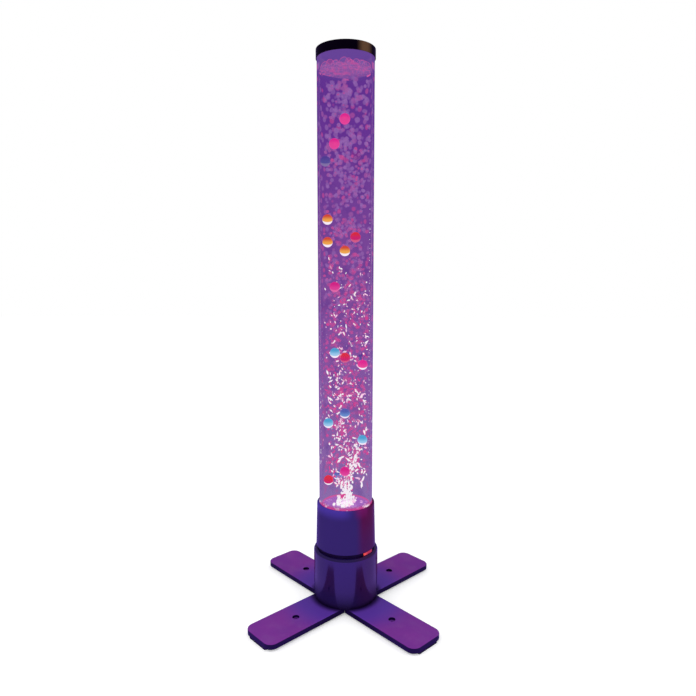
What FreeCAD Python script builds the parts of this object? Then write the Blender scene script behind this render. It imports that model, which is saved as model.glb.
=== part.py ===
import FreeCAD, Part
import math
import os
import re
import Sketcher

# A bubble tube floor lamp: a clear water tube with coloured balls in it, held in a collar on a
# round housing with four flat legs. It stands on the floor at z = 0, the tube on the Z axis and
# its front towards -Y. Millimetres.
doc = FreeCAD.newDocument("BubbleTubeLamp")

SIZES = {
    # legs and feet
    "foot_height": 4.0,
    "foot_length": 22.0,
    "foot_width": 48.0,
    "foot_inset": 0.8,
    "foot_rounding": 3.0,
    "leg_thickness": 10.0,
    "leg_width": 76.0,
    "leg_reach": 209.0,
    "leg_tip_rounding": 16.0,
    "leg_edge_rounding": 1.5,
    "mitre_gap": 0.2,
    "fixing_reach": 123.0,
    "fixing_hole_radius": 3.25,
    "fixing_recess_radius": 6.5,
    "fixing_recess_depth": 5.0,
    # base plate and its screws
    "plate_thickness": 5.0,
    "plate_clearance": 0.3,
    "leg_screw_inner_reach": 22.0,
    "leg_screw_outer_reach": 48.0,
    "leg_screw_radius": 2.5,
    "leg_screw_length": 10.0,
    "leg_screw_head_radius": 4.5,
    "leg_screw_head_height": 3.0,
    "leg_screw_sink": 4.0,
    "small_screw_radius": 1.7,
    "small_screw_head_radius": 3.4,
    "small_screw_head_height": 2.4,
    "housing_screw_length": 14.0,
    "housing_screw_sink": 2.8,
    "collar_screw_length": 24.0,
    "screw_clearance": 0.05,
    "screw_head_clearance": 0.4,
    # lower housing
    "housing_radius": 61.2,
    "housing_height": 97.5,
    "housing_wall": 3.5,
    "housing_deck": 4.0,
    "housing_shoulder": 6.0,
    "housing_foot_rounding": 1.0,
    "deck_lap": 4.0,
    "boss_inset": 5.5,
    "boss_radius": 6.0,
    "boss_height": 16.0,
    # neck ring and its indicator lens
    "neck_setback": 2.5,
    "neck_lap": 4.0,
    "neck_height": 6.5,
    "lens_direction": -38.0,
    "lens_angle": 24.0,
    "lens_height": 5.0,
    "lens_depth": 4.5,
    "lens_proud": 2.0,
    "lens_clearance": 0.1,
    # collar
    "collar_height": 84.0,
    "collar_rim_wall": 4.2,
    "collar_taper": 2.1,
    "collar_foot_wall": 6.0,
    "collar_lip_rounding": 2.2,
    "collar_post_inset": 0.5,
    "collar_post_wall_gap": 7.7,
    "collar_post_radius": 4.5,
    "collar_foot_rounding": 0.8,
    "socket_depth": 22.0,
    "socket_clearance": 0.2,
    "ledge_width": 4.2,
    "board_drop": 10.0,
    "shelf_width": 5.0,
    "shelf_thickness": 5.0,
    # tube, its floor and the air nozzle
    "tube_radius": 50.0,
    "tube_wall": 4.0,
    "tube_length": 826.0,
    "floor_thickness": 10.0,
    "floor_lift": 4.0,
    "glue_gap": 0.1,
    "nozzle_stem_radius": 5.0,
    "nozzle_bore_radius": 1.5,
    "nozzle_flange_radius": 9.0,
    "nozzle_flange_thickness": 2.5,
    "nozzle_head_radius": 6.0,
    "nozzle_head_height": 7.0,
    "nozzle_tip_radius": 3.0,
    "nozzle_tip_height": 2.0,
    "nozzle_stem_length": 22.0,
    "nozzle_clearance": 0.1,
    "nozzle_seal_thickness": 1.0,
    "nozzle_nut_radius": 9.0,
    "nozzle_nut_height": 5.0,
    "nozzle_nut_gap": 0.5,
    "valve_radius": 8.0,
    "valve_length": 24.0,
    "valve_grip": 10.0,
    "barb_radius": 2.5,
    "barb_length": 11.0,
    "hose_wall": 1.4,
    "hose_clearance": 0.05,
    # light
    "board_thickness": 1.6,
    "light_board_clearance": 2.0,
    "light_board_hole_radius": 14.0,
    "light_size": 5.0,
    "light_height": 1.6,
    "light_dome_radius": 1.7,
    "light_dome_height": 0.8,
    "light_reach": 32.0,
    # electronics at the back
    "control_board_width": 64.0,
    "control_board_height": 48.0,
    "control_board_inset": 18.5,
    "rail_width": 68.0,
    "rail_depth": 6.0,
    "rail_height": 6.0,
    "rail_slot_depth": 4.0,
    "rail_slot_clearance": 0.1,
    "panel_spread": 13.0,
    "panel_height": 40.0,
    "chip_size": 12.0,
    "chip_thickness": 2.5,
    "jack_width": 9.0,
    "jack_height": 11.0,
    "jack_length": 13.4,
    "jack_nose_radius": 4.2,
    "jack_nose_length": 4.0,
    "jack_bore_radius": 3.1,
    "jack_bore_depth": 10.0,
    "jack_pin_radius": 1.0,
    "panel_clearance": 0.4,
    "switch_size": 12.0,
    "switch_depth": 5.0,
    "switch_bore_depth": 4.0,
    "button_radius": 5.0,
    "button_proud": 1.0,
    "button_flange_radius": 7.0,
    "button_flange_thickness": 2.0,
    "button_flange_stand": 3.0,
    "button_stem_radius": 2.0,
    "button_stem_clearance": 0.1,
    "button_travel": 1.5,
    "button_rounding": 0.8,
    # air pump
    "pump_length": 76.0,
    "pump_width": 48.0,
    "pump_case_height": 22.0,
    "pump_cover_height": 17.0,
    "pump_wall": 2.0,
    "mount_radius": 5.0,
    "mount_height": 8.0,
    "mount_spread_length": 54.0,
    "mount_spread_width": 32.0,
    "core_leg": 6.0,
    "core_gap": 1.0,
    "core_depth": 12.0,
    "core_length": 19.0,
    "core_height": 26.0,
    "coil_build": 4.0,
    "coil_clearance": 0.2,
    "arm_length": 36.0,
    "arm_width": 8.0,
    "arm_thickness": 4.0,
    "arm_height": 13.0,
    "pivot_inset": 8.0,
    "pivot_radius": 1.5,
    "pivot_clearance": 0.05,
    "ear_thickness": 3.0,
    "ear_width": 8.0,
    "ear_gap": 2.0,
    "magnet_length": 5.0,
    "magnet_width": 10.0,
    "magnet_height": 10.0,
    "bellows_radius": 8.0,
    "bellows_waist": 1.8,
    "bellows_offset": 8.0,
    "valve_block_length": 26.0,
    "valve_block_width": 32.0,
    "valve_block_height": 5.0,
    "valve_block_offset": 4.0,
    "riser_offset_x": 16.0,
    "riser_offset_y": 16.0,
    "riser_radius": 3.5,
    "riser_clearance": 0.2,
    # cap
    "cap_wall": 1.3,
    "cap_top": 3.0,
    "cap_overlap": 11.0,
    "cap_clearance": 0.3,
    "cap_rounding": 1.2,
    "cap_lip_depth": 6.0,
    "cap_lip_width": 2.2,
    "cap_lip_clearance": 0.4,
    "gasket_thickness": 1.5,
    "gasket_width": 3.4,
    "gasket_setback": 0.1,
    # balls in the water
    "air_gap": 31.0,
    "ball_radius": 9.0,
    "ball_bead_height": 0.6,
    "ball_bead_proud": 0.15,
    "ball_wall_gap": 1.0,
    "ball_lane_gap": 0.5,
}

LEG_CORNERS = {"front_right": -45, "front_left": -135, "rear_right": 45, "rear_left": 135}
SCREW_DIRECTIONS = (0, 90, 180, 270)
LIGHT_COUNT = 12

# Balls stand in upright lanes side by side along the tube wall. Lane 0 faces the front and the
# others follow to the right, or left if negative. Each number is one ball's height as a share of
# the water's depth, chosen by eye from the photograph.
BALL_LANES = {
    0: (0.10, 0.24, 0.37, 0.61, 0.89),
    -1: (0.38, 0.53, 0.84),
    -2: (0.07, 0.21, 0.63, 0.68),
    -3: (0.81,),
    1: (0.64,),
    2: (0.17, 0.35),
    5: (0.83,),
    -5: (0.06,),
    4: (0.36,),
}

sheet = doc.addObject("Spreadsheet::Sheet", "Sizes")
for row, (alias, size) in enumerate(SIZES.items(), start=1):
    sheet.set(f"A{row}", alias.replace("_", " "))
    sheet.set(f"B{row}", str(size))
    sheet.setAlias(f"B{row}", alias)
doc.recompute()

# Heights, depths and radii that several pieces share, written from the driving sizes.
leg_top = "(foot_height + leg_thickness)"
plate_top = f"({leg_top} + plate_thickness)"
housing_top = f"({leg_top} + housing_height)"
housing_inner = "(housing_radius - housing_wall)"
neck_top = f"({housing_top} + neck_height)"
collar_top = f"({neck_top} + collar_height)"
tube_bottom = f"({collar_top} - socket_depth)"
tube_top = f"({tube_bottom} + tube_length)"
tube_inner = "(tube_radius - tube_wall)"
socket_radius = "(tube_radius + socket_clearance)"
collar_rim_radius = f"({socket_radius} + collar_rim_wall)"
collar_base_radius = f"({collar_rim_radius} + collar_taper)"
collar_hollow_radius = f"({collar_base_radius} - collar_foot_wall)"
post_reach_in_collar = f"{collar_hollow_radius} - collar_post_inset"
post_reach_in_housing = f"{housing_inner} - collar_post_wall_gap"
collar_post_reach = f"min({post_reach_in_collar}; {post_reach_in_housing})"
neck_radius = f"({collar_base_radius} - neck_setback)"
neck_inner_radius = f"({collar_post_reach} - neck_lap)"
floor_bottom = f"({tube_bottom} + floor_lift)"
floor_top = f"({floor_bottom} + floor_thickness)"
shelf_top = f"({tube_bottom} - board_drop)"
ledge_inner = "(tube_radius - ledge_width)"
shelf_inner = f"({ledge_inner} - shelf_width)"
nozzle_seat = f"({floor_top} + nozzle_seal_thickness)"
stem_bottom = f"({floor_bottom} - nozzle_stem_length)"
valve_bottom = f"({stem_bottom} + valve_grip - valve_length)"
boss_reach = f"({housing_inner} - boss_inset)"
board_front = f"({housing_inner} - control_board_inset)"
board_back = f"({board_front} + board_thickness)"
button_foot = f"({board_back} + switch_depth + button_flange_stand)"
pump_floor = f"({plate_top} + mount_height)"
case_floor = f"({pump_floor} + pump_wall)"
case_top = f"({pump_floor} + pump_case_height)"
cover_top = f"({case_top} + pump_cover_height)"
pump_end = "(pump_length / 2 - pump_wall)"
pivot_x = "(pump_length / 2 - pivot_inset)"
pivot_z = f"({case_floor} + arm_height)"
arm_tip = f"({pivot_x} - arm_length)"
arm_bottom = f"({pivot_z} - arm_thickness / 2)"
block_top = f"({case_floor} + valve_block_height)"
gasket_top = f"({tube_top} + gasket_thickness)"
cap_bottom = f"({tube_top} - cap_overlap)"
ball_ring = f"({tube_inner} - ball_radius - ball_wall_gap)"


def bound(text):
    """The expression with each size's alias looked up in the sheet."""
    return re.sub(r"[a-z]+(_[a-z]+)+", r"Sizes.\g<0>", text)


def value(text):
    return float(sheet.evalExpression(text))


def polar(reach, direction):
    """The X and Y expressions of a point at a reach from the axis, in a direction in degrees."""
    x = f"{reach} * {math.cos(math.radians(direction)):.12g}"
    y = f"{reach} * {math.sin(math.radians(direction)):.12g}"
    return x, y


def move(piece, x="0", y="0", z="0"):
    for axis, text in zip("xyz", (x, y, z)):
        piece.setExpression(f"Placement.Base.{axis}", bound(text))


def turn_about_z(piece, degrees):
    piece.setExpression("Placement.Rotation.Angle", bound(str(degrees)))


# Primitives and booleans
def cylinder(name, radius, height, at=("0", "0", "0"), along_y=False):
    solid = doc.addObject("Part::Cylinder", name)
    solid.setExpression("Radius", bound(radius))
    solid.setExpression("Height", bound(height))
    if along_y:
        solid.Placement.Rotation = FreeCAD.Rotation(FreeCAD.Vector(1, 0, 0), -90)
    move(solid, *at)
    return solid


def box(name, length, width, height, at):
    """A box centred on at in X and Y, standing on its Z."""
    solid = doc.addObject("Part::Box", name)
    solid.setExpression("Length", bound(length))
    solid.setExpression("Width", bound(width))
    solid.setExpression("Height", bound(height))
    move(solid, f"{at[0]} - ({length}) / 2", f"{at[1]} - ({width}) / 2", at[2])
    return solid


def join(name, *solids):
    joined = doc.addObject("Part::MultiFuse", name)
    joined.Shapes = list(solids)
    return joined


def cut(name, base, *tools):
    result = doc.addObject("Part::Cut", name)
    result.Base = base
    result.Tool = tools[0] if len(tools) == 1 else join(f"{name}_tools", *tools)
    return result


def group(name, solids):
    gathered = doc.addObject("Part::Compound", name)
    gathered.Links = list(solids)
    return gathered


def tube(name, outer, inner, height, base):
    return cut(
        name,
        cylinder(f"{name}_outside", outer, height, ("0", "0", base)),
        cylinder(f"{name}_inside", inner, height, ("0", "0", base)),
    )


# Sketched bodies
def new_body(name):
    return doc.addObject("PartDesign::Body", name)


def sketch_on(body, role, name, lift="0"):
    plane = next(o for o in body.Origin.OriginFeatures if o.Role == role)
    sketch = body.newObject("Sketcher::SketchObject", name)
    sketch.AttachmentSupport = [(plane, "")]
    sketch.MapMode = "FlatFace"
    sketch.setExpression("AttachmentOffset.Base.z", bound(lift))
    return sketch


def bind_point(sketch, geometry, position, x, y):
    for kind, text in (("DistanceX", x), ("DistanceY", y)):
        rule = Sketcher.Constraint(kind, -1, 1, geometry, position, value(text))
        index = sketch.addConstraint(rule)
        sketch.setExpression(f"Constraints[{index}]", bound(text))


def outline(sketch, points):
    """A closed polygon whose corners are bound to pairs of expressions."""
    corners = [FreeCAD.Vector(value(x), value(y), 0) for x, y in points]
    last = len(corners) - 1
    for number, corner in enumerate(corners):
        after = corners[0 if number == last else number + 1]
        sketch.addGeometry(Part.LineSegment(corner, after))
    for number in range(len(corners)):
        after = 0 if number == last else number + 1
        sketch.addConstraint(Sketcher.Constraint("Coincident", number, 2, after, 1))
    for number, (x, y) in enumerate(points):
        bind_point(sketch, number, 1, x, y)


def circles(sketch, centres, radius):
    for x, y in centres:
        centre = FreeCAD.Vector(value(x), value(y), 0)
        number = sketch.addGeometry(
            Part.Circle(centre, FreeCAD.Vector(0, 0, 1), value(radius))
        )
        bind_point(sketch, number, 3, x, y)
        index = sketch.addConstraint(Sketcher.Constraint("Radius", number, value(radius)))
        sketch.setExpression(f"Constraints[{index}]", bound(radius))


def revolved(name, points):
    """A body turned about the Z axis from its half outline in X and Z."""
    body = new_body(name)
    sketch = sketch_on(body, "XZ_Plane", f"{name}_outline")
    outline(sketch, points)
    turned = body.newObject("PartDesign::Revolution", f"{name}_turned")
    turned.Profile = sketch
    turned.ReferenceAxis = (sketch, ["V_Axis"])
    turned.Angle = 360
    doc.recompute()
    return body


def padded(body, sketch, height):
    pad = body.newObject("PartDesign::Pad", f"{sketch.Name}_pad")
    pad.Profile = sketch
    pad.setExpression("Length", bound(height))
    doc.recompute()
    return pad


def pocketed(body, sketch, depth=None, upward=False):
    """Cuts the sketch into the body, right through if no depth is given."""
    before = body.Shape.Volume
    pocket = body.newObject("PartDesign::Pocket", f"{sketch.Name}_pocket")
    pocket.Profile = sketch
    pocket.Reversed = upward
    if depth is None:
        pocket.Type = "ThroughAll"
    else:
        pocket.setExpression("Length", bound(depth))
    doc.recompute()
    if body.Shape.Volume >= before:
        raise RuntimeError(f"{pocket.Name} cuts nothing")
    return pocket


def filleted(body, radius, chosen):
    """Rounds the edges of the body's tip that the test chooses."""
    feature = body.Tip
    names = [f"Edge{n}" for n, e in enumerate(feature.Shape.Edges, start=1) if chosen(e)]
    if not names:
        raise RuntimeError(f"{body.Name} has no edge to round")
    fillet = body.newObject("PartDesign::Fillet", f"{body.Name}_rounding")
    fillet.Base = (feature, names)
    fillet.setExpression("Radius", bound(radius))
    doc.recompute()
    return fillet


def near(a, b):
    return abs(a - b) < 1e-4


def rim(radius, height):
    """A test for the circular edge of a turned body at a radius and height."""

    def chosen(edge):
        curve = edge.Curve
        if not isinstance(curve, Part.Circle):
            return False
        return near(curve.Radius, value(radius)) and near(curve.Center.z, value(height))

    return chosen


nodes = []


def node(label, piece):
    """Takes a finished piece into the model under its own name."""
    piece.Label = label
    nodes.append(piece)
    return piece


# Legs: four flat bars, mitred where they meet under the housing, each with a recessed hole for a
# floor screw halfway out and two screw holes under the housing, and a rubber pad under its tip.
def leg(corner, direction):
    body = new_body(f"leg_{corner}")
    half = "leg_width / 2"
    point = "mitre_gap * sqrt(2)"
    plan = sketch_on(body, "XY_Plane", f"leg_{corner}_plan")
    outline(
        plan,
        [
            (point, "0"),
            (f"{point} + {half}", f"-{half}"),
            ("leg_reach", f"-{half}"),
            ("leg_reach", half),
            (f"{point} + {half}", half),
        ],
    )
    padded(body, plan, "leg_thickness")
    reach = value("leg_reach")
    top = value("leg_thickness")
    inner = value(half)

    def tip_corner(edge):
        ends = [v.Point for v in edge.Vertexes]
        return all(near(p.x, reach) for p in ends) and near(ends[0].y, ends[-1].y)

    def top_side(edge):
        ends = [v.Point for v in edge.Vertexes]
        return len(ends) == 2 and all(near(p.z, top) and p.x > inner for p in ends)

    filleted(body, "leg_tip_rounding", tip_corner)
    filleted(body, "leg_edge_rounding", top_side)
    through = sketch_on(body, "XY_Plane", f"leg_{corner}_fixing_hole")
    circles(through, [("fixing_reach", "0")], "fixing_hole_radius")
    pocketed(body, through, upward=True)
    recess = sketch_on(body, "XY_Plane", f"leg_{corner}_fixing_recess", "leg_thickness")
    circles(recess, [("fixing_reach", "0")], "fixing_recess_radius")
    pocketed(body, recess, "fixing_recess_depth")
    screw_places = [("leg_screw_inner_reach", "0"), ("leg_screw_outer_reach", "0")]
    holes = sketch_on(body, "XY_Plane", f"leg_{corner}_screw_holes")
    circles(holes, screw_places, "leg_screw_radius + screw_clearance")
    pocketed(body, holes, upward=True)
    sinks = sketch_on(body, "XY_Plane", f"leg_{corner}_screw_sinks")
    circles(sinks, screw_places, "leg_screw_head_radius + screw_head_clearance")
    pocketed(body, sinks, "leg_screw_sink", upward=True)
    move(body, z="foot_height")
    turn_about_z(body, direction)
    node(f"leg_{corner}", body)


def foot(corner, direction):
    body = new_body(f"foot_{corner}")
    outer = "leg_reach - foot_inset"
    inner = f"{outer} - foot_length"
    half = "foot_width / 2"
    plan = sketch_on(body, "XY_Plane", f"foot_{corner}_plan")
    outline(
        plan, [(inner, f"-{half}"), (outer, f"-{half}"), (outer, half), (inner, half)]
    )
    padded(body, plan, "foot_height")

    def upright(edge):
        return near(edge.BoundBox.ZLength, value("foot_height"))

    filleted(body, "foot_rounding", upright)
    turn_about_z(body, direction)
    node(f"foot_{corner}", body)


for corner, direction in LEG_CORNERS.items():
    leg(corner, direction)
for corner, direction in LEG_CORNERS.items():
    foot(corner, direction)


# Screws: a cylinder head and a plain shank, pointing up.
def screw(name, place, head_bottom, head_radius, head_height, radius, length):
    x, y = place
    head = cylinder(f"{name}_head", head_radius, head_height, (x, y, head_bottom))
    shank_bottom = f"{head_bottom} + {head_height}"
    shank = cylinder(f"{name}_shank", radius, length, (x, y, shank_bottom))
    return join(name, head, shank)


leg_screw_places = [
    polar(reach, direction)
    for direction in LEG_CORNERS.values()
    for reach in ("leg_screw_inner_reach", "leg_screw_outer_reach")
]
node(
    "leg_screws",
    group(
        "leg_screws",
        [
            screw(
                f"leg_screw_{number}",
                place,
                "foot_height + leg_screw_sink - leg_screw_head_height",
                "leg_screw_head_radius",
                "leg_screw_head_height",
                "leg_screw_radius",
                "leg_screw_length",
            )
            for number, place in enumerate(leg_screw_places)
        ],
    ),
)


def small_screws(label, reach, head_bottom, length):
    node(
        label,
        group(
            label,
            [
                screw(
                    f"{label}_{direction}",
                    polar(reach, direction),
                    head_bottom,
                    "small_screw_head_radius",
                    "small_screw_head_height",
                    "small_screw_radius",
                    length,
                )
                for direction in SCREW_DIRECTIONS
            ],
        ),
    )


# Base plate: a round plate that closes the housing below and takes the leg screws. A slotted rail
# across its back holds the control board upright.
plate = new_body("base_plate")
disc = sketch_on(plate, "XY_Plane", "plate_plan")
circles(disc, [("0", "0")], f"{housing_inner} - plate_clearance")
padded(plate, disc, "plate_thickness")
plate_threads = sketch_on(plate, "XY_Plane", "plate_threads")
circles(plate_threads, leg_screw_places, "leg_screw_radius + screw_clearance")
pocketed(plate, plate_threads, upward=True)
boss_places = [polar(boss_reach, direction) for direction in SCREW_DIRECTIONS]
plate_holes = sketch_on(plate, "XY_Plane", "plate_holes")
circles(plate_holes, boss_places, "small_screw_radius + screw_clearance")
pocketed(plate, plate_holes, upward=True)
plate_sinks = sketch_on(plate, "XY_Plane", "plate_sinks")
circles(plate_sinks, boss_places, "small_screw_head_radius + screw_head_clearance")
pocketed(plate, plate_sinks, "housing_screw_sink", upward=True)
rail_middle = f"({board_front} + board_thickness / 2)"
rail = sketch_on(plate, "XY_Plane", "plate_rail", "plate_thickness")
rail_half = "rail_width / 2"
rail_front = f"{rail_middle} - rail_depth / 2"
rail_back = f"{rail_middle} + rail_depth / 2"
outline(
    rail,
    [
        (f"-{rail_half}", rail_front),
        (rail_half, rail_front),
        (rail_half, rail_back),
        (f"-{rail_half}", rail_back),
    ],
)
padded(plate, rail, "rail_height")
slot = sketch_on(plate, "XY_Plane", "plate_rail_slot", "plate_thickness + rail_height")
slot_front = f"{board_front} - rail_slot_clearance"
slot_back = f"{board_back} + rail_slot_clearance"
slot_half = "(control_board_width / 2 + rail_slot_clearance)"
outline(
    slot,
    [
        (f"-{slot_half}", slot_front),
        (slot_half, slot_front),
        (slot_half, slot_back),
        (f"-{slot_half}", slot_back),
    ],
)
pocketed(plate, slot, "rail_slot_depth")
move(plate, z=leg_top)
node("base_plate", plate)
small_screws(
    "housing_screws",
    boss_reach,
    f"{leg_top} + housing_screw_sink - small_screw_head_height",
    "housing_screw_length",
)

# Lower housing: a moulded can, open below, with a deck on top, four screw bosses at its foot and
# two round openings at the back for the power inlet and the button.
deck_bottom = f"({housing_top} - housing_deck)"
deck_opening_radius = f"({neck_inner_radius} - deck_lap)"
housing = revolved(
    "lower_housing",
    [
        (housing_inner, leg_top),
        ("housing_radius", leg_top),
        ("housing_radius", housing_top),
        (deck_opening_radius, housing_top),
        (deck_opening_radius, deck_bottom),
        (housing_inner, deck_bottom),
    ],
)
filleted(housing, "housing_shoulder", rim("housing_radius", housing_top))
filleted(housing, "housing_foot_rounding", rim("housing_radius", leg_top))
bosses = sketch_on(housing, "XY_Plane", "housing_bosses", plate_top)
circles(bosses, boss_places, "boss_radius")
padded(housing, bosses, "boss_height")
pilots = sketch_on(housing, "XY_Plane", "housing_pilots", plate_top)
circles(pilots, boss_places, "small_screw_radius + screw_clearance")
pocketed(housing, pilots, "housing_screw_length", upward=True)
deck_places = [polar(collar_post_reach, direction) for direction in SCREW_DIRECTIONS]
deck_holes = sketch_on(housing, "XY_Plane", "deck_holes", housing_top)
circles(deck_holes, deck_places, "small_screw_radius + screw_clearance")
pocketed(housing, deck_holes, "housing_deck")
inlet_hole = sketch_on(housing, "XZ_Plane", "inlet_hole")
circles(
    inlet_hole, [("-panel_spread", "panel_height")], "jack_nose_radius + panel_clearance"
)
pocketed(housing, inlet_hole)
button_hole = sketch_on(housing, "XZ_Plane", "button_hole")
circles(button_hole, [("panel_spread", "panel_height")], "button_radius + panel_clearance")
pocketed(housing, button_hole)
node("lower_housing", housing)

# Neck ring: a dark ring set back between housing and collar, with a slot for the indicator lens.
lens_bottom = f"({housing_top} + (neck_height - lens_height) / 2)"
slot_angle = "(lens_angle + 2 * lens_clearance)"


def sector(name, radius, height, base, angle):
    """A wedge of a cylinder, centred on the lens's direction."""
    wedge = cylinder(name, radius, height, ("0", "0", base))
    wedge.setExpression("Angle", bound(angle))
    turn_about_z(wedge, f"lens_direction - {angle} / 2")
    return wedge


lens_inner = f"({neck_radius} - lens_depth)"
lens_slot = cut(
    "lens_slot",
    sector(
        "lens_slot_outside",
        f"{neck_radius} + lens_depth",
        "lens_height + 2 * lens_clearance",
        f"{lens_bottom} - lens_clearance",
        slot_angle,
    ),
    cylinder(
        "lens_slot_inside",
        f"{lens_inner} - lens_clearance",
        "neck_height",
        ("0", "0", housing_top),
    ),
)
neck_screw_holes = [
    cylinder(
        f"neck_screw_hole_{direction}",
        "small_screw_radius + screw_clearance",
        "neck_height",
        (*polar(collar_post_reach, direction), housing_top),
    )
    for direction in SCREW_DIRECTIONS
]
neck_blank = tube("neck_blank", neck_radius, neck_inner_radius, "neck_height", housing_top)
node("neck_ring", cut("neck_ring", neck_blank, lens_slot, *neck_screw_holes))
lens_blank = sector(
    "lens_blank", f"{neck_radius} + lens_proud", "lens_height", lens_bottom, "lens_angle"
)
lens_core = cylinder("lens_core", lens_inner, "neck_height", ("0", "0", housing_top))
node("indicator_lens", cut("indicator_lens", lens_blank, lens_core))
small_screws(
    "collar_screws",
    collar_post_reach,
    f"{deck_bottom} - small_screw_head_height",
    "collar_screw_length",
)

# Collar: the socket that holds the tube, slightly tapered, with a rounded lip. Inside, the tube
# stands on a ledge and the light board on a shelf; four posts below take the collar screws.
shelf_bottom = f"({shelf_top} - shelf_thickness)"
collar = revolved(
    "tube_collar",
    [
        (collar_hollow_radius, neck_top),
        (collar_base_radius, neck_top),
        (collar_rim_radius, collar_top),
        (socket_radius, collar_top),
        (socket_radius, tube_bottom),
        (ledge_inner, tube_bottom),
        (ledge_inner, shelf_top),
        (shelf_inner, shelf_top),
        (shelf_inner, shelf_bottom),
        (collar_hollow_radius, shelf_bottom),
    ],
)
filleted(collar, "collar_lip_rounding", rim(collar_rim_radius, collar_top))
filleted(collar, "collar_foot_rounding", rim(collar_base_radius, neck_top))
posts = sketch_on(collar, "XY_Plane", "collar_posts", neck_top)
circles(posts, deck_places, "collar_post_radius")
padded(collar, posts, f"{shelf_bottom} - {neck_top} + shelf_thickness / 2")
post_holes = sketch_on(collar, "XY_Plane", "collar_post_holes", neck_top)
circles(post_holes, deck_places, "small_screw_radius + screw_clearance")
pocketed(
    collar,
    post_holes,
    "collar_screw_length - housing_deck - neck_height + screw_head_clearance",
    upward=True,
)
node("tube_collar", collar)

# Tube: clear acrylic, with a thick acrylic floor glued in just above its lower end.
node("acrylic_tube", tube("acrylic_tube", "tube_radius", tube_inner, "tube_length", tube_bottom))
stem_hole = "(nozzle_stem_radius + nozzle_clearance)"
node(
    "tube_floor",
    tube("tube_floor", f"{tube_inner} - glue_gap", stem_hole, "floor_thickness", floor_bottom),
)

# Air nozzle: a turned fitting through the tube's floor, sealed above and held by a nut below,
# with the non-return valve on its stem and the hose on the valve.
nozzle_top = f"({nozzle_seat} + nozzle_flange_thickness + nozzle_head_height)"
flange_top = f"({nozzle_seat} + nozzle_flange_thickness)"
nozzle = revolved(
    "air_nozzle",
    [
        ("nozzle_bore_radius", stem_bottom),
        ("nozzle_stem_radius", stem_bottom),
        ("nozzle_stem_radius", nozzle_seat),
        ("nozzle_flange_radius", nozzle_seat),
        ("nozzle_flange_radius", flange_top),
        ("nozzle_head_radius", flange_top),
        ("nozzle_head_radius", f"{nozzle_top} - nozzle_tip_height"),
        ("nozzle_tip_radius", nozzle_top),
        ("nozzle_bore_radius", nozzle_top),
    ],
)
node("air_nozzle", nozzle)
node(
    "nozzle_seal",
    tube("nozzle_seal", "nozzle_flange_radius", stem_hole, "nozzle_seal_thickness", floor_top),
)
nut_bottom = f"({floor_bottom} - nozzle_nut_gap - nozzle_nut_height)"
nut_blank = doc.addObject("Part::Prism", "nozzle_nut_blank")
nut_blank.Polygon = 6
nut_blank.setExpression("Circumradius", bound("nozzle_nut_radius"))
nut_blank.setExpression("Height", bound("nozzle_nut_height"))
move(nut_blank, z=nut_bottom)
nut_bore = cylinder("nozzle_nut_bore", stem_hole, "nozzle_nut_height", ("0", "0", nut_bottom))
node("nozzle_nut", cut("nozzle_nut", nut_blank, nut_bore))
barb_bottom = f"({valve_bottom} - barb_length)"
valve = revolved(
    "check_valve",
    [
        ("nozzle_bore_radius", barb_bottom),
        ("barb_radius", barb_bottom),
        ("barb_radius", valve_bottom),
        ("valve_radius", valve_bottom),
        ("valve_radius", f"{stem_bottom} + valve_grip"),
        (stem_hole, f"{stem_bottom} + valve_grip"),
        (stem_hole, stem_bottom),
        ("nozzle_bore_radius", stem_bottom),
    ],
)
node("check_valve", valve)


def rounded_route(points):
    """A wire of straight runs joined by tangent arcs nearly as large as the runs allow."""
    run_share = 0.45
    edges = []
    start = points[0]
    for before, here, after in zip(points, points[1:], points[2:]):
        back = (before - here).normalize()
        ahead = (after - here).normalize()
        run = min((before - here).Length, (after - here).Length)
        setback = run_share * run
        first = here + back * setback
        last = here + ahead * setback
        half = back.getAngle(ahead) / 2
        bisector = (back + ahead).normalize()
        centre = here + bisector * (setback / math.cos(half))
        middle = centre - bisector * (setback * math.tan(half))
        edges.append(Part.LineSegment(start, first).toShape())
        edges.append(Part.Arc(first, middle, last).toShape())
        start = last
        print("hose bend radius", round(setback * math.tan(half), 2))
    edges.append(Part.LineSegment(start, points[-1]).toShape())
    return Part.Wire(edges)


def swept(route, radius):
    start = route.Edges[0]
    ring = Part.Circle(start.valueAt(start.FirstParameter), FreeCAD.Vector(0, 0, 1), radius)
    return route.makePipeShell([Part.Wire([ring.toShape()])], True, False)


# Hose: from the pump's riser up and across to the non-return valve, pushed on both barbs.
hose_inner = value("barb_radius + hose_clearance")
hose_outer = hose_inner + value("hose_wall")
hose_low = FreeCAD.Vector(value("riser_offset_x"), value("riser_offset_y"), value(cover_top))
hose_high = FreeCAD.Vector(0, 0, value(valve_bottom))
third = (hose_high.z - hose_low.z) / 3
hose_route = rounded_route(
    [
        hose_low,
        hose_low + FreeCAD.Vector(0, 0, third),
        hose_high - FreeCAD.Vector(0, 0, third),
        hose_high,
    ]
)
hose_shape = swept(hose_route, hose_outer).cut(swept(hose_route, hose_inner))
hose_section = math.pi * (hose_outer**2 - hose_inner**2)
print("hose volume to section times length", hose_shape.Volume / (hose_section * hose_route.Length))
hose = doc.addObject("Part::Feature", "air_hose")
hose.Shape = hose_shape
node("air_hose", hose)

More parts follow.
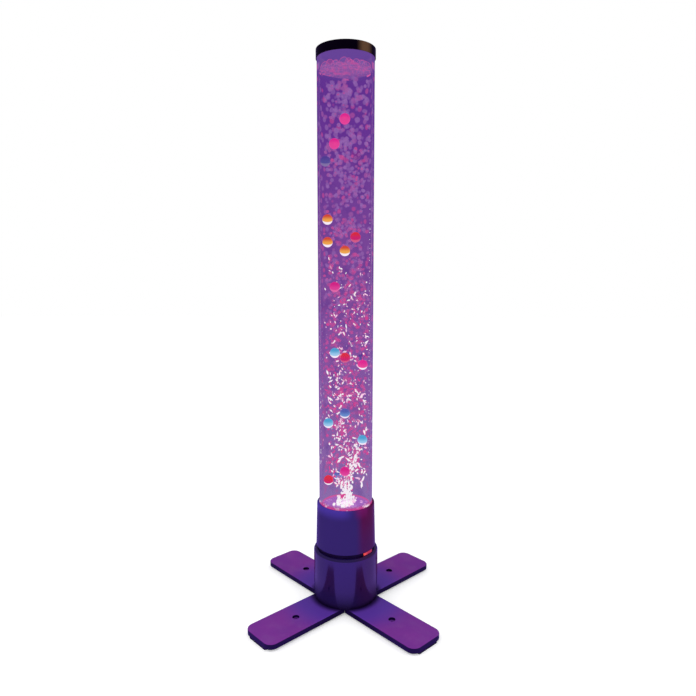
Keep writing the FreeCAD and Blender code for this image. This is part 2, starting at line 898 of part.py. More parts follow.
# Light: a ring-shaped board on the collar's shelf with a ring of lights that shine up through
# the tube's floor.
light_board = tube(
    "light_board",
    f"{ledge_inner} - light_board_clearance",
    "light_board_hole_radius",
    "board_thickness",
    shelf_top,
)
node("light_board", light_board)
lights = []
for number in range(LIGHT_COUNT):
    light_x, light_y = polar("light_reach", 360 * number / LIGHT_COUNT)
    light_base = f"{shelf_top} + board_thickness"
    light = box(
        f"light_{number}",
        "light_size",
        "light_size",
        "light_height",
        (light_x, light_y, light_base),
    )
    dome = cylinder(
        f"light_dome_{number}",
        "light_dome_radius",
        "light_height + light_dome_height",
        (light_x, light_y, light_base),
    )
    lights.append(join(f"light_with_dome_{number}", light, dome))
node("lights", group("lights", lights))

# Control board: stands in the plate's rail, with chips in front and the power inlet and the push
# switch behind, in line with the housing's two openings.
rail_slot_floor = f"({plate_top} + rail_height - rail_slot_depth)"
control_board = box(
    "control_board",
    "control_board_width",
    "board_thickness",
    "control_board_height",
    ("0", rail_middle, rail_slot_floor),
)
node("control_board", control_board)
chip_depth = f"{board_front} - chip_thickness / 2"
chip_places = {"main": ("0", "panel_height + chip_size"), "driver": ("-panel_spread", "panel_height")}
chips = [
    box(
        f"chip_{name}",
        "chip_size",
        "chip_thickness",
        "chip_size",
        (x, chip_depth, f"{z} - chip_size / 2"),
    )
    for name, (x, z) in chip_places.items()
]
node("control_chips", group("control_chips", chips))

inlet_x = "-panel_spread"
jack_face = f"({board_back} + jack_length)"
jack_body = box(
    "jack_body",
    "jack_width",
    "jack_length",
    "jack_height",
    (inlet_x, f"{board_back} + jack_length / 2", "panel_height - jack_height / 2"),
)
jack_nose = cylinder(
    "jack_nose", "jack_nose_radius", "jack_nose_length", (inlet_x, jack_face, "panel_height"), True
)
jack_mouth = f"({jack_face} + jack_nose_length)"
jack_bore = cylinder(
    "jack_bore",
    "jack_bore_radius",
    "jack_bore_depth",
    (inlet_x, f"{jack_mouth} - jack_bore_depth", "panel_height"),
    True,
)
jack_pin = cylinder(
    "jack_pin",
    "jack_pin_radius",
    "jack_bore_depth",
    (inlet_x, f"{jack_mouth} - jack_bore_depth - jack_pin_radius", "panel_height"),
    True,
)
jack_shell = cut("jack_shell", join("jack_blank", jack_body, jack_nose), jack_bore)
node("power_inlet", join("power_inlet", jack_shell, jack_pin))

switch_case = box(
    "switch_case",
    "switch_size",
    "switch_depth",
    "switch_size",
    ("panel_spread", f"{board_back} + switch_depth / 2", "panel_height - switch_size / 2"),
)
switch_bore = cylinder(
    "switch_bore",
    "button_stem_radius + button_stem_clearance",
    "switch_bore_depth",
    ("panel_spread", f"{board_back} + switch_depth - switch_bore_depth", "panel_height"),
    True,
)
node("push_switch", cut("push_switch", switch_case, switch_bore))

# Button: a round key that shows at the back of the housing. Its flange stays inside the wall and
# its stem reaches into the switch.
stem_depth = "(switch_bore_depth - button_travel - button_stem_clearance)"
button_stem_start = f"({board_back} + switch_depth - {stem_depth})"
button = new_body("push_button")
button_side = sketch_on(button, "XY_Plane", "button_side")
flange_back = f"({button_foot} + button_flange_thickness)"
button_reach = "(housing_radius + button_proud)"
outline(
    button_side,
    [
        ("0", button_stem_start),
        ("button_stem_radius", button_stem_start),
        ("button_stem_radius", button_foot),
        ("button_flange_radius", button_foot),
        ("button_flange_radius", flange_back),
        ("button_radius", flange_back),
        ("button_radius", button_reach),
        ("0", button_reach),
    ],
)
button_turned = button.newObject("PartDesign::Revolution", "button_turned")
button_turned.Profile = button_side
button_turned.ReferenceAxis = (button_side, ["V_Axis"])
button_turned.Angle = 360
doc.recompute()


def button_face(edge):
    curve = edge.Curve
    if not isinstance(curve, Part.Circle):
        return False
    return near(curve.Radius, value("button_radius")) and near(curve.Center.y, value(button_reach))


filleted(button, "button_rounding", button_face)
move(button, "panel_spread", "0", "panel_height")
node("push_button", button)

# Air pump: a case on four rubber mounts. A coil on its core swings a magnet on an arm, and the
# arm works a rubber bellows on the valve block, whose riser leads up through the cover.
mounts = [
    cylinder(
        f"pump_mount_{side_x}_{side_y}".replace("-", "m"),
        "mount_radius",
        "mount_height",
        (f"{side_x} * mount_spread_length / 2", f"{side_y} * mount_spread_width / 2", plate_top),
    )
    for side_x in (-1, 1)
    for side_y in (-1, 1)
]
node("pump_mounts", group("pump_mounts", mounts))
inner_length = "pump_length - 2 * pump_wall"
inner_width = "pump_width - 2 * pump_wall"
case_block = box(
    "case_block", "pump_length", "pump_width", "pump_case_height", ("0", "0", pump_floor)
)
case_hollow = box("case_hollow", inner_length, inner_width, "pump_case_height", ("0", "0", case_floor))
ear_height = "arm_height + ear_width / 2"
ears = [
    box(
        f"ear_{name}",
        "ear_width",
        "ear_thickness",
        ear_height,
        (pivot_x, f"{side} * (arm_width / 2 + ear_gap + ear_thickness / 2)", case_floor),
    )
    for name, side in (("front", -1), ("rear", 1))
]
pin_half = "(arm_width / 2 + ear_gap + ear_thickness)"
pin_hole = cylinder(
    "pin_hole",
    "pivot_radius + pivot_clearance",
    f"2 * {pin_half}",
    (pivot_x, f"-{pin_half}", pivot_z),
    True,
)
case_shell = cut("case_shell", case_block, case_hollow)
node("pump_case", cut("pump_case", join("case_with_ears", case_shell, *ears), pin_hole))
cover_block = box(
    "cover_block", "pump_length", "pump_width", "pump_cover_height", ("0", "0", case_top)
)
cover_hollow = box(
    "cover_hollow", inner_length, inner_width, "pump_cover_height - pump_wall", ("0", "0", case_top)
)
riser_hole = cylinder(
    "riser_hole",
    "riser_radius + riser_clearance",
    "pump_cover_height",
    ("riser_offset_x", "riser_offset_y", case_top),
)
node("pump_cover", cut("pump_cover", cover_block, cover_hollow, riser_hole))

# The core is a C of iron with its poles towards the magnet; the coil is wound on its back leg.
core_back = f"(-{pump_end} + coil_build + core_gap)"
core_block = box(
    "core_block",
    "core_length",
    "core_depth",
    "core_height",
    (f"{core_back} + core_length / 2", "0", case_floor),
)
core_window = box(
    "core_window",
    "core_length",
    "core_depth",
    "core_height - 2 * core_leg",
    (f"{core_back} + core_leg + core_length / 2", "0", f"{case_floor} + core_leg"),
)
node("pump_core", cut("pump_core", core_block, core_window))
coil_height = "core_height - 2 * core_leg - 2 * coil_clearance"
coil_middle = f"{core_back} + core_leg / 2"
coil_base = f"{case_floor} + core_leg + coil_clearance"
coil_block = box(
    "coil_block",
    "core_leg + 2 * coil_build",
    "core_depth + 2 * coil_build",
    coil_height,
    (coil_middle, "0", coil_base),
)
coil_window = box(
    "coil_window",
    "core_leg + 2 * coil_clearance",
    "core_depth + 2 * coil_clearance",
    coil_height,
    (coil_middle, "0", coil_base),
)
node("pump_coil", cut("pump_coil", coil_block, coil_window))

arm_bar = box(
    "arm_bar",
    "arm_length + arm_thickness / 2",
    "arm_width",
    "arm_thickness",
    (f"{arm_tip} + (arm_length + arm_thickness / 2) / 2", "0", arm_bottom),
)
arm_pin = cylinder(
    "arm_pin", "pivot_radius", f"2 * {pin_half}", (pivot_x, f"-{pin_half}", pivot_z), True
)
node("pump_arm", join("pump_arm", arm_bar, arm_pin))
node(
    "pump_magnet",
    box(
        "pump_magnet",
        "magnet_length",
        "magnet_width",
        "magnet_height",
        (f"{arm_tip} - magnet_length / 2", "0", f"{pivot_z} - magnet_height / 2"),
    ),
)
waist = "(bellows_radius - bellows_waist)"
fold = f"(({arm_bottom} - {block_top}) / 4)"
bellows = revolved(
    "pump_bellows",
    [
        ("0", block_top),
        (waist, block_top),
        ("bellows_radius", f"{block_top} + {fold}"),
        (waist, f"{block_top} + 2 * {fold}"),
        ("bellows_radius", f"{block_top} + 3 * {fold}"),
        (waist, arm_bottom),
        ("0", arm_bottom),
    ],
)
move(bellows, "bellows_offset")
node("pump_bellows", bellows)
block = box(
    "block",
    "valve_block_length",
    "valve_block_width",
    "valve_block_height",
    ("bellows_offset", "valve_block_offset", case_floor),
)
riser = cylinder(
    "riser",
    "riser_radius",
    f"{cover_top} - {block_top}",
    ("riser_offset_x", "riser_offset_y", block_top),
)
riser_barb = cylinder(
    "riser_barb",
    "barb_radius",
    "barb_length",
    ("riser_offset_x", "riser_offset_y", cover_top),
)
node("pump_valve_block", join("pump_valve_block", block, riser, riser_barb))

# Cap: a shallow lid over the tube's end, with a locating lip inside and a gasket on the tube.
cap_inner = "(tube_radius + cap_clearance)"
cap_radius = f"({cap_inner} + cap_wall)"
cap_top = f"({gasket_top} + cap_top)"
lip_outer = f"({tube_inner} - cap_lip_clearance)"
lip_inner = f"({lip_outer} - cap_lip_width)"
lip_bottom = f"({gasket_top} - cap_lip_depth)"
cap = revolved(
    "tube_cap",
    [
        ("0", gasket_top),
        (lip_inner, gasket_top),
        (lip_inner, lip_bottom),
        (lip_outer, lip_bottom),
        (lip_outer, gasket_top),
        (cap_inner, gasket_top),
        (cap_inner, cap_bottom),
        (cap_radius, cap_bottom),
        (cap_radius, cap_top),
        ("0", cap_top),
    ],
)
filleted(cap, "cap_rounding", rim(cap_radius, cap_top))
node("tube_cap", cap)
gasket_outer = "(tube_radius - gasket_setback)"
node(
    "cap_gasket",
    tube(
        "cap_gasket", gasket_outer, f"{gasket_outer} - gasket_width", "gasket_thickness", tube_top
    ),
)

# Balls: hollow plastic balls with a fine weld bead, one lane beside the next along the tube wall.
water_depth = f"({tube_top} - air_gap - {floor_top})"
lane_pitch = 2 * math.degrees(
    math.asin(value("ball_radius + ball_bead_proud + ball_lane_gap / 2") / value(ball_ring))
)
count = 0
for lane, shares in BALL_LANES.items():
    ball_x, ball_y = polar(ball_ring, lane * lane_pitch - 90)
    for share in shares:
        count += 1
        ball_z = f"{floor_top} + {share} * {water_depth}"
        ball = doc.addObject("Part::Sphere", f"ball_round_{count}")
        ball.setExpression("Radius", bound("ball_radius"))
        move(ball, ball_x, ball_y, ball_z)
        bead = cylinder(
            f"ball_bead_{count}",
            "ball_radius + ball_bead_proud",
            "ball_bead_height",
            (ball_x, ball_y, f"{ball_z} - ball_bead_height / 2"),
        )
        node(f"ball_{count:02d}", join(f"ball_{count:02d}", ball, bead))

doc.recompute()
for thing in doc.Objects:
    if "Invalid" in thing.State or "Error" in thing.State:
        raise RuntimeError(f"{thing.Name} failed: {thing.State}")
for piece in nodes:
    if piece.Shape.isNull() or not piece.Shape.isValid():
        raise RuntimeError(f"{piece.Label} has no valid shape")

os.makedirs("parts", exist_ok=True)
for piece in nodes:
    piece.Shape.exportStep(f"parts/{piece.Label}.step")
print(len(nodes), "pieces written")
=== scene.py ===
import math
import random
from collections import namedtuple

import bmesh
import bpy
import numpy as np
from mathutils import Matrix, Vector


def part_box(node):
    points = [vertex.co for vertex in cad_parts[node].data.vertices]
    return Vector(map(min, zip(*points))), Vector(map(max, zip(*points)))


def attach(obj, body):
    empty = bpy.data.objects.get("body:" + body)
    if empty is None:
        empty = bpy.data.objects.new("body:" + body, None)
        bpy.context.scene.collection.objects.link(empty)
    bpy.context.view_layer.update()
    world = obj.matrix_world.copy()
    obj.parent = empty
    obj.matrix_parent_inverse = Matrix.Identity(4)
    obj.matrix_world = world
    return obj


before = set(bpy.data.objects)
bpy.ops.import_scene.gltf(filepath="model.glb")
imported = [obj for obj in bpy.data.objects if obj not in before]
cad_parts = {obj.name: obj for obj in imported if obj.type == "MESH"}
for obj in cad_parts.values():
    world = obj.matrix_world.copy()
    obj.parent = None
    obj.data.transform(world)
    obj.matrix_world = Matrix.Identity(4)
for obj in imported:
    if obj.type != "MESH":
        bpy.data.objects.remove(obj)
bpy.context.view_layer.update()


# ---- Feet --------------------------------------------------------------------------------------
# Four flat pads of moulded black rubber, one glued under the tip of each leg so that the lamp
# grips the floor. The rubber is matt with a fine mould grain, and chalky where it is handled.
def srgb(red, green, blue):
    """A colour as read off a screen, 0 to 255 each, as the renderer's linear colour."""
    shares = [channel / 255 for channel in (red, green, blue)]
    return (*[c / 12.92 if c <= 0.04045 else ((c + 0.055) / 1.055) ** 2.4 for c in shares], 1.0)


def feed(tree, socket, value):
    """Links another node's output to a socket, or sets the socket to a plain value."""
    if isinstance(value, bpy.types.NodeSocket):
        tree.links.new(value, socket)
    else:
        socket.default_value = value


def add(tree, kind, inputs=None, **settings):
    """Adds a shader node. Its sockets take plain values or other nodes' outputs."""
    node = tree.nodes.new(f"ShaderNode{kind}")
    for name, setting in settings.items():
        setattr(node, name, setting)
    for key, value in (inputs or {}).items():
        feed(tree, node.inputs[key], value)
    return node


def new_group(name, takes, colors=(), values=()):
    """An empty node group: its tree, the sockets that it takes and the sockets that it gives."""
    tree = bpy.data.node_groups.new(name, "ShaderNodeTree")
    for label, value in takes.items():
        kind = "NodeSocketFloat" if isinstance(value, float) else "NodeSocketColor"
        tree.interface.new_socket(label, in_out="INPUT", socket_type=kind).default_value = value
    for label in colors:
        tree.interface.new_socket(label, in_out="OUTPUT", socket_type="NodeSocketColor")
    for label in values:
        tree.interface.new_socket(label, in_out="OUTPUT", socket_type="NodeSocketFloat")
    return tree, tree.nodes.new("NodeGroupInput").outputs, tree.nodes.new("NodeGroupOutput").inputs


def use(tree, group, values):
    """Places a node group with its own values and gives its outputs."""
    return add(tree, "Group", values, node_tree=group).outputs


def mixed(tree, share, first, second):
    """A mix of two colours."""
    return add(tree, "Mix", {0: share, 6: first, 7: second}, data_type="RGBA").outputs[2]


def ramp(tree, value, low, high, start=0.0, end=1.0, smooth=True):
    """A value mapped from low..high to start..end, clamped."""
    kind = "SMOOTHSTEP" if smooth else "LINEAR"
    sockets = {"Value": value, "From Min": low, "From Max": high, "To Min": start, "To Max": end}
    return add(tree, "MapRange", sockets, interpolation_type=kind).outputs[0]


def maths(tree, operation, *values):
    """The result of one arithmetic step."""
    return add(tree, "Math", dict(enumerate(values)), operation=operation).outputs[0]


def product(tree, total, *factors):
    """Several values multiplied together."""
    for factor in factors:
        total = maths(tree, "MULTIPLY", total, factor)
    return total


def in_place(tree):
    """Where a point is on the lamp at rest, in metres."""
    return add(tree, "TexCoord").outputs["Object"]


def noise(tree, scale, detail):
    """A cloudy value, fixed to the lamp."""
    sockets = {"Vector": in_place(tree), "Scale": scale, "Detail": detail}
    return add(tree, "TexNoise", sockets).outputs[0]


def bump(tree, height, strength, depth):
    """The normal of a surface that a height value roughens."""
    sockets = {"Height": height, "Strength": strength, "Distance": depth}
    return add(tree, "Bump", sockets).outputs[0]


mid_grey = (0.5, 0.5, 0.5, 1.0)
skin_group, skin_in, skin_out = new_group(
    "moulded_skin",
    {
        "Color": mid_grey,
        "Cloud Color": mid_grey,
        "Rub Color": mid_grey,
        "Cloud Scale": 20.0,
        "Grain Scale": 900.0,
        "Roughness": 0.5,
        "Spread": 0.1,
        "Rub": 0.5,
    },
    colors=["Color"],
    values=["Roughness", "Height"],
)
tree = skin_group
clouds = ramp(tree, noise(tree, skin_in["Cloud Scale"], 3.0), 0.35, 0.65)
patches = noise(tree, 130.0, 4.0)
rounded_normal = add(tree, "Bevel", {"Radius": 0.0009}, samples=6).outputs[0]
flat_normal = add(tree, "NewGeometry").outputs["Normal"]
at_edge = add(tree, "VectorMath", {0: rounded_normal, 1: flat_normal}, operation="DOT_PRODUCT")
rubbed = product(
    tree,
    ramp(tree, at_edge.outputs["Value"], 0.99, 0.86),
    ramp(tree, patches, 0.40, 0.66),
    skin_in["Rub"],
)
clouded = mixed(tree, clouds, skin_in["Color"], skin_in["Cloud Color"])
tree.links.new(mixed(tree, rubbed, clouded, skin_in["Rub Color"]), skin_out["Color"])
spread = product(tree, maths(tree, "SUBTRACT", patches, 0.5), skin_in["Spread"])
tree.links.new(maths(tree, "ADD", skin_in["Roughness"], spread), skin_out["Roughness"])
tree.links.new(noise(tree, skin_in["Grain Scale"], 2.0), skin_out["Height"])

Finish = namedtuple("Finish", "material tree shader skin")


def blank(name):
    """A new material with only its output: the material, its tree and the surface socket."""
    material = bpy.data.materials.new(name)
    material.use_nodes = True
    tree = material.node_tree
    tree.nodes.clear()
    return material, tree, add(tree, "OutputMaterial").inputs["Surface"]


def moulded(
    name, tones, cloud, grain, roughness, spread, rub, relief=0.1, depth=0.0003, shader=None
):
    """A moulded finish in three tones: its own, its clouds' and that of its rubbed edges."""
    material, tree, surface = blank(name)
    color, cloud_color, rub_color = [srgb(*tone) for tone in tones]
    skin = use(
        tree,
        skin_group,
        {
            "Color": color,
            "Cloud Color": cloud_color,
            "Rub Color": rub_color,
            "Cloud Scale": cloud,
            "Grain Scale": grain,
            "Roughness": roughness,
            "Spread": spread,
            "Rub": rub,
        },
    )
    sockets = {
        "Base Color": skin["Color"],
        "Roughness": skin["Roughness"],
        "Normal": bump(tree, skin["Height"], relief, depth),
        **(shader or {}),
    }
    principled = add(tree, "BsdfPrincipled", sockets)
    tree.links.new(principled.outputs[0], surface)
    return Finish(material, tree, principled.inputs, skin)


def dress(material, *names):
    """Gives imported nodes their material."""
    for name in names:
        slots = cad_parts[name].data.materials
        slots.clear()
        slots.append(material)


corners = ("front_right", "front_left", "rear_right", "rear_left")
rubber = moulded(
    "foot_rubber",
    [(10, 8, 16), (15, 12, 22), (60, 56, 68)],
    cloud=60.0,
    grain=1400.0,
    roughness=0.82,
    spread=0.2,
    rub=0.5,
    relief=0.35,
)
dress(rubber.material, *[f"foot_{corner}" for corner in corners])


# ---- Legs --------------------------------------------------------------------------------------
# Four flat arms of thick board, mitred together under the lamp and lacquered satin purple. Each
# has a recessed hole for fixing it to the floor, and a little dust lies on its flat top.
def axes(tree, vector):
    """The parts X, Y and Z of a vector."""
    return add(tree, "SeparateXYZ", {0: vector}).outputs


def length(tree, vector):
    """How long a vector is."""
    return add(tree, "VectorMath", {0: vector}, operation="LENGTH").outputs["Value"]


def facing_up(tree):
    """How far a surface faces up: 1 on a flat top, 0 on an upright side."""
    return axes(tree, add(tree, "NewGeometry").outputs["Normal"])["Z"]


dust_group, dust_in, dust_out = new_group(
    "settled_dust",
    {"Color": mid_grey, "Dust Color": mid_grey, "Roughness": 0.5, "Amount": 0.1},
    colors=["Color"],
    values=["Roughness"],
)
tree = dust_group
specks = ramp(tree, noise(tree, 45.0, 7.0), 0.42, 0.72)
dust = product(tree, ramp(tree, facing_up(tree), 0.6, 1.0), specks, dust_in["Amount"])
tree.links.new(mixed(tree, dust, dust_in["Color"], dust_in["Dust Color"]), dust_out["Color"])
tree.links.new(maths(tree, "ADD", dust_in["Roughness"], dust), dust_out["Roughness"])

around_group, _, around_out = new_group("way_round", {}, values=["Angle", "Radius", "Height"])
tree = around_group
around = axes(tree, in_place(tree))
turn = maths(tree, "ARCTAN2", around["X"], maths(tree, "MULTIPLY", around["Y"], -1.0))
flat = add(tree, "CombineXYZ", {"X": around["X"], "Y": around["Y"]}).outputs[0]
tree.links.new(maths(tree, "DEGREES", turn), around_out["Angle"])
tree.links.new(length(tree, flat), around_out["Radius"])
tree.links.new(around["Z"], around_out["Height"])


def way_round(tree):
    """A point's Angle from the front in degrees, Radius from the tube's axis, and Height."""
    return use(tree, around_group, {})


lacquer = moulded(
    "leg_lacquer",
    [(122, 47, 145), (114, 45, 143), (138, 84, 164)],
    cloud=14.0,
    grain=420.0,
    roughness=0.42,
    spread=0.12,
    rub=0.2,
    relief=0.12,
    depth=0.0002,
    shader={"Specular IOR Level": 0.1},
)
tree = lacquer.tree
settled = use(
    tree,
    dust_group,
    {
        "Color": lacquer.skin["Color"],
        "Roughness": lacquer.skin["Roughness"],
        "Dust Color": srgb(150, 120, 170),
        "Amount": 0.07,
    },
)
# Painted shade: bluer towards the housing, a painted shadow close to it, and darker upright sides.
radius = way_round(tree)["Radius"]
bluish_shade = mixed(tree, ramp(tree, radius, 0.150, 0.085), settled["Color"], srgb(88, 51, 156))
shadow = ramp(tree, radius, 0.0755, 0.0605, 0.0, 0.92)
shadowed = mixed(tree, shadow, bluish_shade, srgb(14, 2, 40))
side_shade = ramp(tree, facing_up(tree), 0.75, 0.15)
leg_color = mixed(tree, side_shade, shadowed, srgb(24, 6, 60))
tree.links.new(leg_color, lacquer.shader["Base Color"])
tree.links.new(settled["Roughness"], lacquer.shader["Roughness"])
dress(lacquer.material, *[f"leg_{corner}" for corner in corners])


# ---- Screws under the base and in the collar ---------------------------------------------------
# Zinc-plated steel screws. They hold the legs to the base plate, the base plate to the housing and
# the collar on top. The plating is bright but clouded, and brighter still along rubbed edges.
steel = moulded(
    "screw_steel",
    [(176, 178, 184), (150, 152, 160), (214, 214, 220)],
    cloud=260.0,
    grain=2400.0,
    roughness=0.32,
    spread=0.3,
    rub=0.6,
    relief=0.2,
    depth=0.0001,
    shader={"Metallic": 1.0},
)
dress(steel.material, "leg_screws", "housing_screws", "collar_screws")


# ---- Base plate --------------------------------------------------------------------------------
# The disc that the legs are screwed to and that closes the housing from below. It is moulded in
# dark plastic with a coarse texture, and carries the pump's mounts and the board's rail.
plate = moulded(
    "base_plate_plastic",
    [(38, 24, 62), (44, 29, 70), (92, 78, 120)],
    cloud=25.0,
    grain=700.0,
    roughness=0.6,
    spread=0.1,
    rub=0.3,
    relief=0.4,
)
dress(plate.material, "base_plate")


# ---- Pump, boards and hose inside the housing --------------------------------------------------
# A small vibrating air pump on rubber mounts, with its iron core, copper coil, swinging magnet
# arm and bellows, and the board that runs the lights. Nothing of them shows from outside.
def ribbed(finish, axis, scale, distortion, strength, depth):
    """Lays fine ribs over a finish, such as the edges of stacked sheets or turns of wire."""
    tree = finish.tree
    sockets = {"Vector": in_place(tree), "Scale": scale, "Distortion": distortion}
    ribs = add(tree, "TexWave", sockets, bands_direction=axis)
    tree.links.new(bump(tree, ribs.outputs[1], strength, depth), finish.shader["Normal"])


pump_case = moulded(
    "pump_plastic",
    [(52, 54, 60), (60, 62, 68), (120, 122, 128)],
    cloud=40.0,
    grain=900.0,
    roughness=0.55,
    spread=0.12,
    rub=0.5,
    relief=0.3,
)
dress(pump_case.material, "pump_case", "pump_cover", "pump_arm", "pump_valve_block")

iron = moulded(
    "core_iron",
    [(120, 118, 116), (92, 88, 86), (160, 158, 156)],
    cloud=150.0,
    grain=1600.0,
    roughness=0.42,
    spread=0.25,
    rub=0.6,
    shader={"Metallic": 1.0},
)
ribbed(iron, "X", 320.0, 0.3, 0.5, 0.0002)
dress(iron.material, "pump_core", "pump_magnet")

copper = moulded(
    "coil_copper",
    [(196, 104, 58), (170, 84, 46), (226, 150, 110)],
    cloud=200.0,
    grain=1600.0,
    roughness=0.34,
    spread=0.2,
    rub=0.4,
    shader={"Metallic": 1.0},
)
ribbed(copper, "Z", 620.0, 0.5, 0.8, 0.0003)
dress(copper.material, "pump_coil")

soft_black = moulded(
    "soft_rubber",
    [(30, 30, 34), (38, 38, 42), (80, 80, 86)],
    cloud=90.0,
    grain=1500.0,
    roughness=0.72,
    spread=0.15,
    rub=0.4,
    relief=0.3,
)
dress(soft_black.material, "pump_mounts", "pump_bellows", "nozzle_seal")

board = moulded(
    "board_green",
    [(22, 92, 52), (18, 80, 46), (180, 150, 80)],
    cloud=80.0,
    grain=1200.0,
    roughness=0.34,
    spread=0.1,
    rub=0.3,
)
tree = board.tree
tracks = add(
    tree,
    "TexBrick",
    {
        "Vector": in_place(tree),
        "Scale": 90.0,
        "Mortar Size": 0.06,
        "Color1": (0.0, 0.0, 0.0, 1.0),
        "Color2": (0.0, 0.0, 0.0, 1.0),
        "Mortar": (1.0, 1.0, 1.0, 1.0),
    },
)
tracked = mixed(tree, tracks.outputs["Color"], board.skin["Color"], srgb(44, 128, 74))
tree.links.new(tracked, board.shader["Base Color"])
dress(board.material, "control_board", "light_board")

chip = moulded(
    "chip_black",
    [(26, 26, 28), (34, 34, 36), (84, 84, 88)],
    cloud=200.0,
    grain=2600.0,
    roughness=0.5,
    spread=0.15,
    rub=0.5,
    relief=0.3,
)
dress(chip.material, "control_chips")

hose = moulded(
    "hose_silicone",
    [(206, 206, 200), (196, 197, 192), (226, 226, 222)],
    cloud=60.0,
    grain=900.0,
    roughness=0.35,
    spread=0.1,
    rub=0.2,
    shader={"Subsurface Weight": 0.2, "Subsurface Scale": 0.002},
)
dress(hose.material, "air_hose", "check_valve")


# ---- Lower housing -----------------------------------------------------------------------------
# A tall round tub of glossy violet plastic, moulded in one with a rounded shoulder. It stands over
# the base plate and hides the pump, and its gloss mirrors the floor between the dark legs.
def band(tree, value, start, full_start, full_end, end):
    """A mask that rises from start to full_start and falls again from full_end to end."""
    rising = ramp(tree, value, start, full_start)
    return product(tree, rising, ramp(tree, value, full_end, end, 1.0, 0.0))


housing_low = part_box("lower_housing")[0]
violet = moulded(
    "housing_gloss",
    [(20, 9, 58), (18, 7, 54), (120, 100, 170)],
    cloud=9.0,
    grain=260.0,
    roughness=0.14,
    spread=0.06,
    rub=0.04,
    relief=0.05,
    depth=0.0002,
    shader={"Specular IOR Level": 1.0},
)
tree = violet.tree
place = way_round(tree)
# A painted maroon reflection of warm light lies right of the front; painted contact shade darkens the
# foot.
warm_reflection = product(tree, band(tree, place["Angle"], 12.0, 42.0, 60.0, 100.0), 0.6)
warm_reflected = mixed(tree, warm_reflection, violet.skin["Color"], srgb(44, 5, 46))
shade_top, shade_foot = housing_low.z + 0.016, housing_low.z + 0.0005
contact_shade = ramp(tree, place["Height"], shade_top, shade_foot, 0.0, 0.8)
housing_color = mixed(tree, contact_shade, warm_reflected, srgb(10, 1, 28))
tree.links.new(housing_color, violet.shader["Base Color"])
dress(violet.material, "lower_housing")


# ---- Power inlet and push button at the back ---------------------------------------------------
# A black socket for the low-voltage lead, and beside it the button that steps through the
# colours. The button's cap is satin plastic, worn a little brighter where it is pressed.
inlet = moulded(
    "inlet_black",
    [(20, 19, 24), (26, 25, 30), (92, 90, 98)],
    cloud=120.0,
    grain=1800.0,
    roughness=0.45,
    spread=0.15,
    rub=0.6,
    relief=0.3,
)
dress(inlet.material, "power_inlet", "push_switch")
button = moulded(
    "button_satin",
    [(40, 24, 70), (48, 30, 82), (120, 104, 156)],
    cloud=160.0,
    grain=1500.0,
    roughness=0.38,
    spread=0.2,
    rub=0.7,
    relief=0.2,
)
dress(button.material, "push_button")


# ---- Neck ring and its lit window --------------------------------------------------------------
# A narrow dark ring set back between housing and collar. A small red window in it has a painted
# red glow in two streaks, and the glossy shoulder of the housing below it mirrors it faintly.
neck = moulded(
    "neck_dark",
    [(16, 2, 38), (20, 4, 44), (60, 40, 90)],
    cloud=40.0,
    grain=900.0,
    roughness=0.4,
    spread=0.1,
    rub=0.2,
    relief=0.15,
    shader={"Specular IOR Level": 0.1},
)
dress(neck.material, "neck_ring")

window = moulded(
    "window_red",
    [(170, 30, 30), (190, 50, 34), (240, 120, 90)],
    cloud=140.0,
    grain=700.0,
    roughness=0.25,
    spread=0.1,
    rub=0.4,
    relief=0.2,
    shader={"Emission Strength": 1.0},
)
tree = window.tree
place = way_round(tree)
window_low, window_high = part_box("indicator_lens")
window_rise = window_high.z - window_low.z
# The window's red glow is painted, in two streaks with a dark line between them.
rows = maths(tree, "SUBTRACT", place["Height"], window_low.z)
rows = maths(tree, "PINGPONG", rows, window_rise / 2)
lit_rows = band(tree, rows, *[window_rise * share for share in (0.12, 0.24, 0.32, 0.46)])
lit_ends = band(tree, place["Angle"], 26.0, 33.0, 43.0, 50.0)
lit_share = product(tree, lit_rows, lit_ends, 0.95)
streaks = ramp(tree, noise(tree, 190.0, 3.0), 0.38, 0.62)
window_light = mixed(tree, streaks, srgb(220, 52, 52), srgb(255, 100, 52))
window_color = mixed(tree, lit_share, srgb(84, 12, 44), window_light)
tree.links.new(window_color, window.shader["Emission Color"])
dress(window.material, "indicator_lens")


# ---- Light board's lamps -----------------------------------------------------------------------
# Twelve small lamps with clear domes, in a ring under the tube's floor. They mix red, green and
# blue into the pink and violet that fills the tube.
lamp = moulded(
    "lamp_domes",
    [(236, 226, 240), (248, 236, 250), (255, 250, 255)],
    cloud=300.0,
    grain=1500.0,
    roughness=0.3,
    spread=0.1,
    rub=0.2,
    shader={"Emission Strength": 1.0},
)
tree = lamp.tree
lamp_shift = maths(tree, "SINE", maths(tree, "MULTIPLY", way_round(tree)["Angle"], 0.1))
lamp_shift = ramp(tree, lamp_shift, -1.0, 1.0)
lamp_color = mixed(tree, lamp_shift, srgb(255, 90, 190), srgb(150, 110, 255))
tree.links.new(lamp_color, lamp.shader["Emission Color"])
dress(lamp.material, "lights")


# ---- Collar ------------------------------------------------------------------------------------
# The deep socket that grips the tube, in the same violet plastic as the housing. Light from the
# lamps under the tube's floor is painted on its rim, blue to the left of the front and magenta to
# the right, and a painted maroon reflection runs down its right side.
collar_low, collar_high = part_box("tube_collar")
collar = moulded(
    "collar_gloss",
    [(52, 35, 105), (48, 32, 101), (116, 96, 168)],
    cloud=9.0,
    grain=260.0,
    roughness=0.24,
    spread=0.08,
    rub=0.15,
    relief=0.05,
    depth=0.0002,
    shader={"Specular IOR Level": 0.05},
)
tree = collar.tree
place = way_round(tree)
rim_depth = 0.022
near_rim = ramp(tree, place["Height"], collar_high.z - rim_depth, collar_high.z)
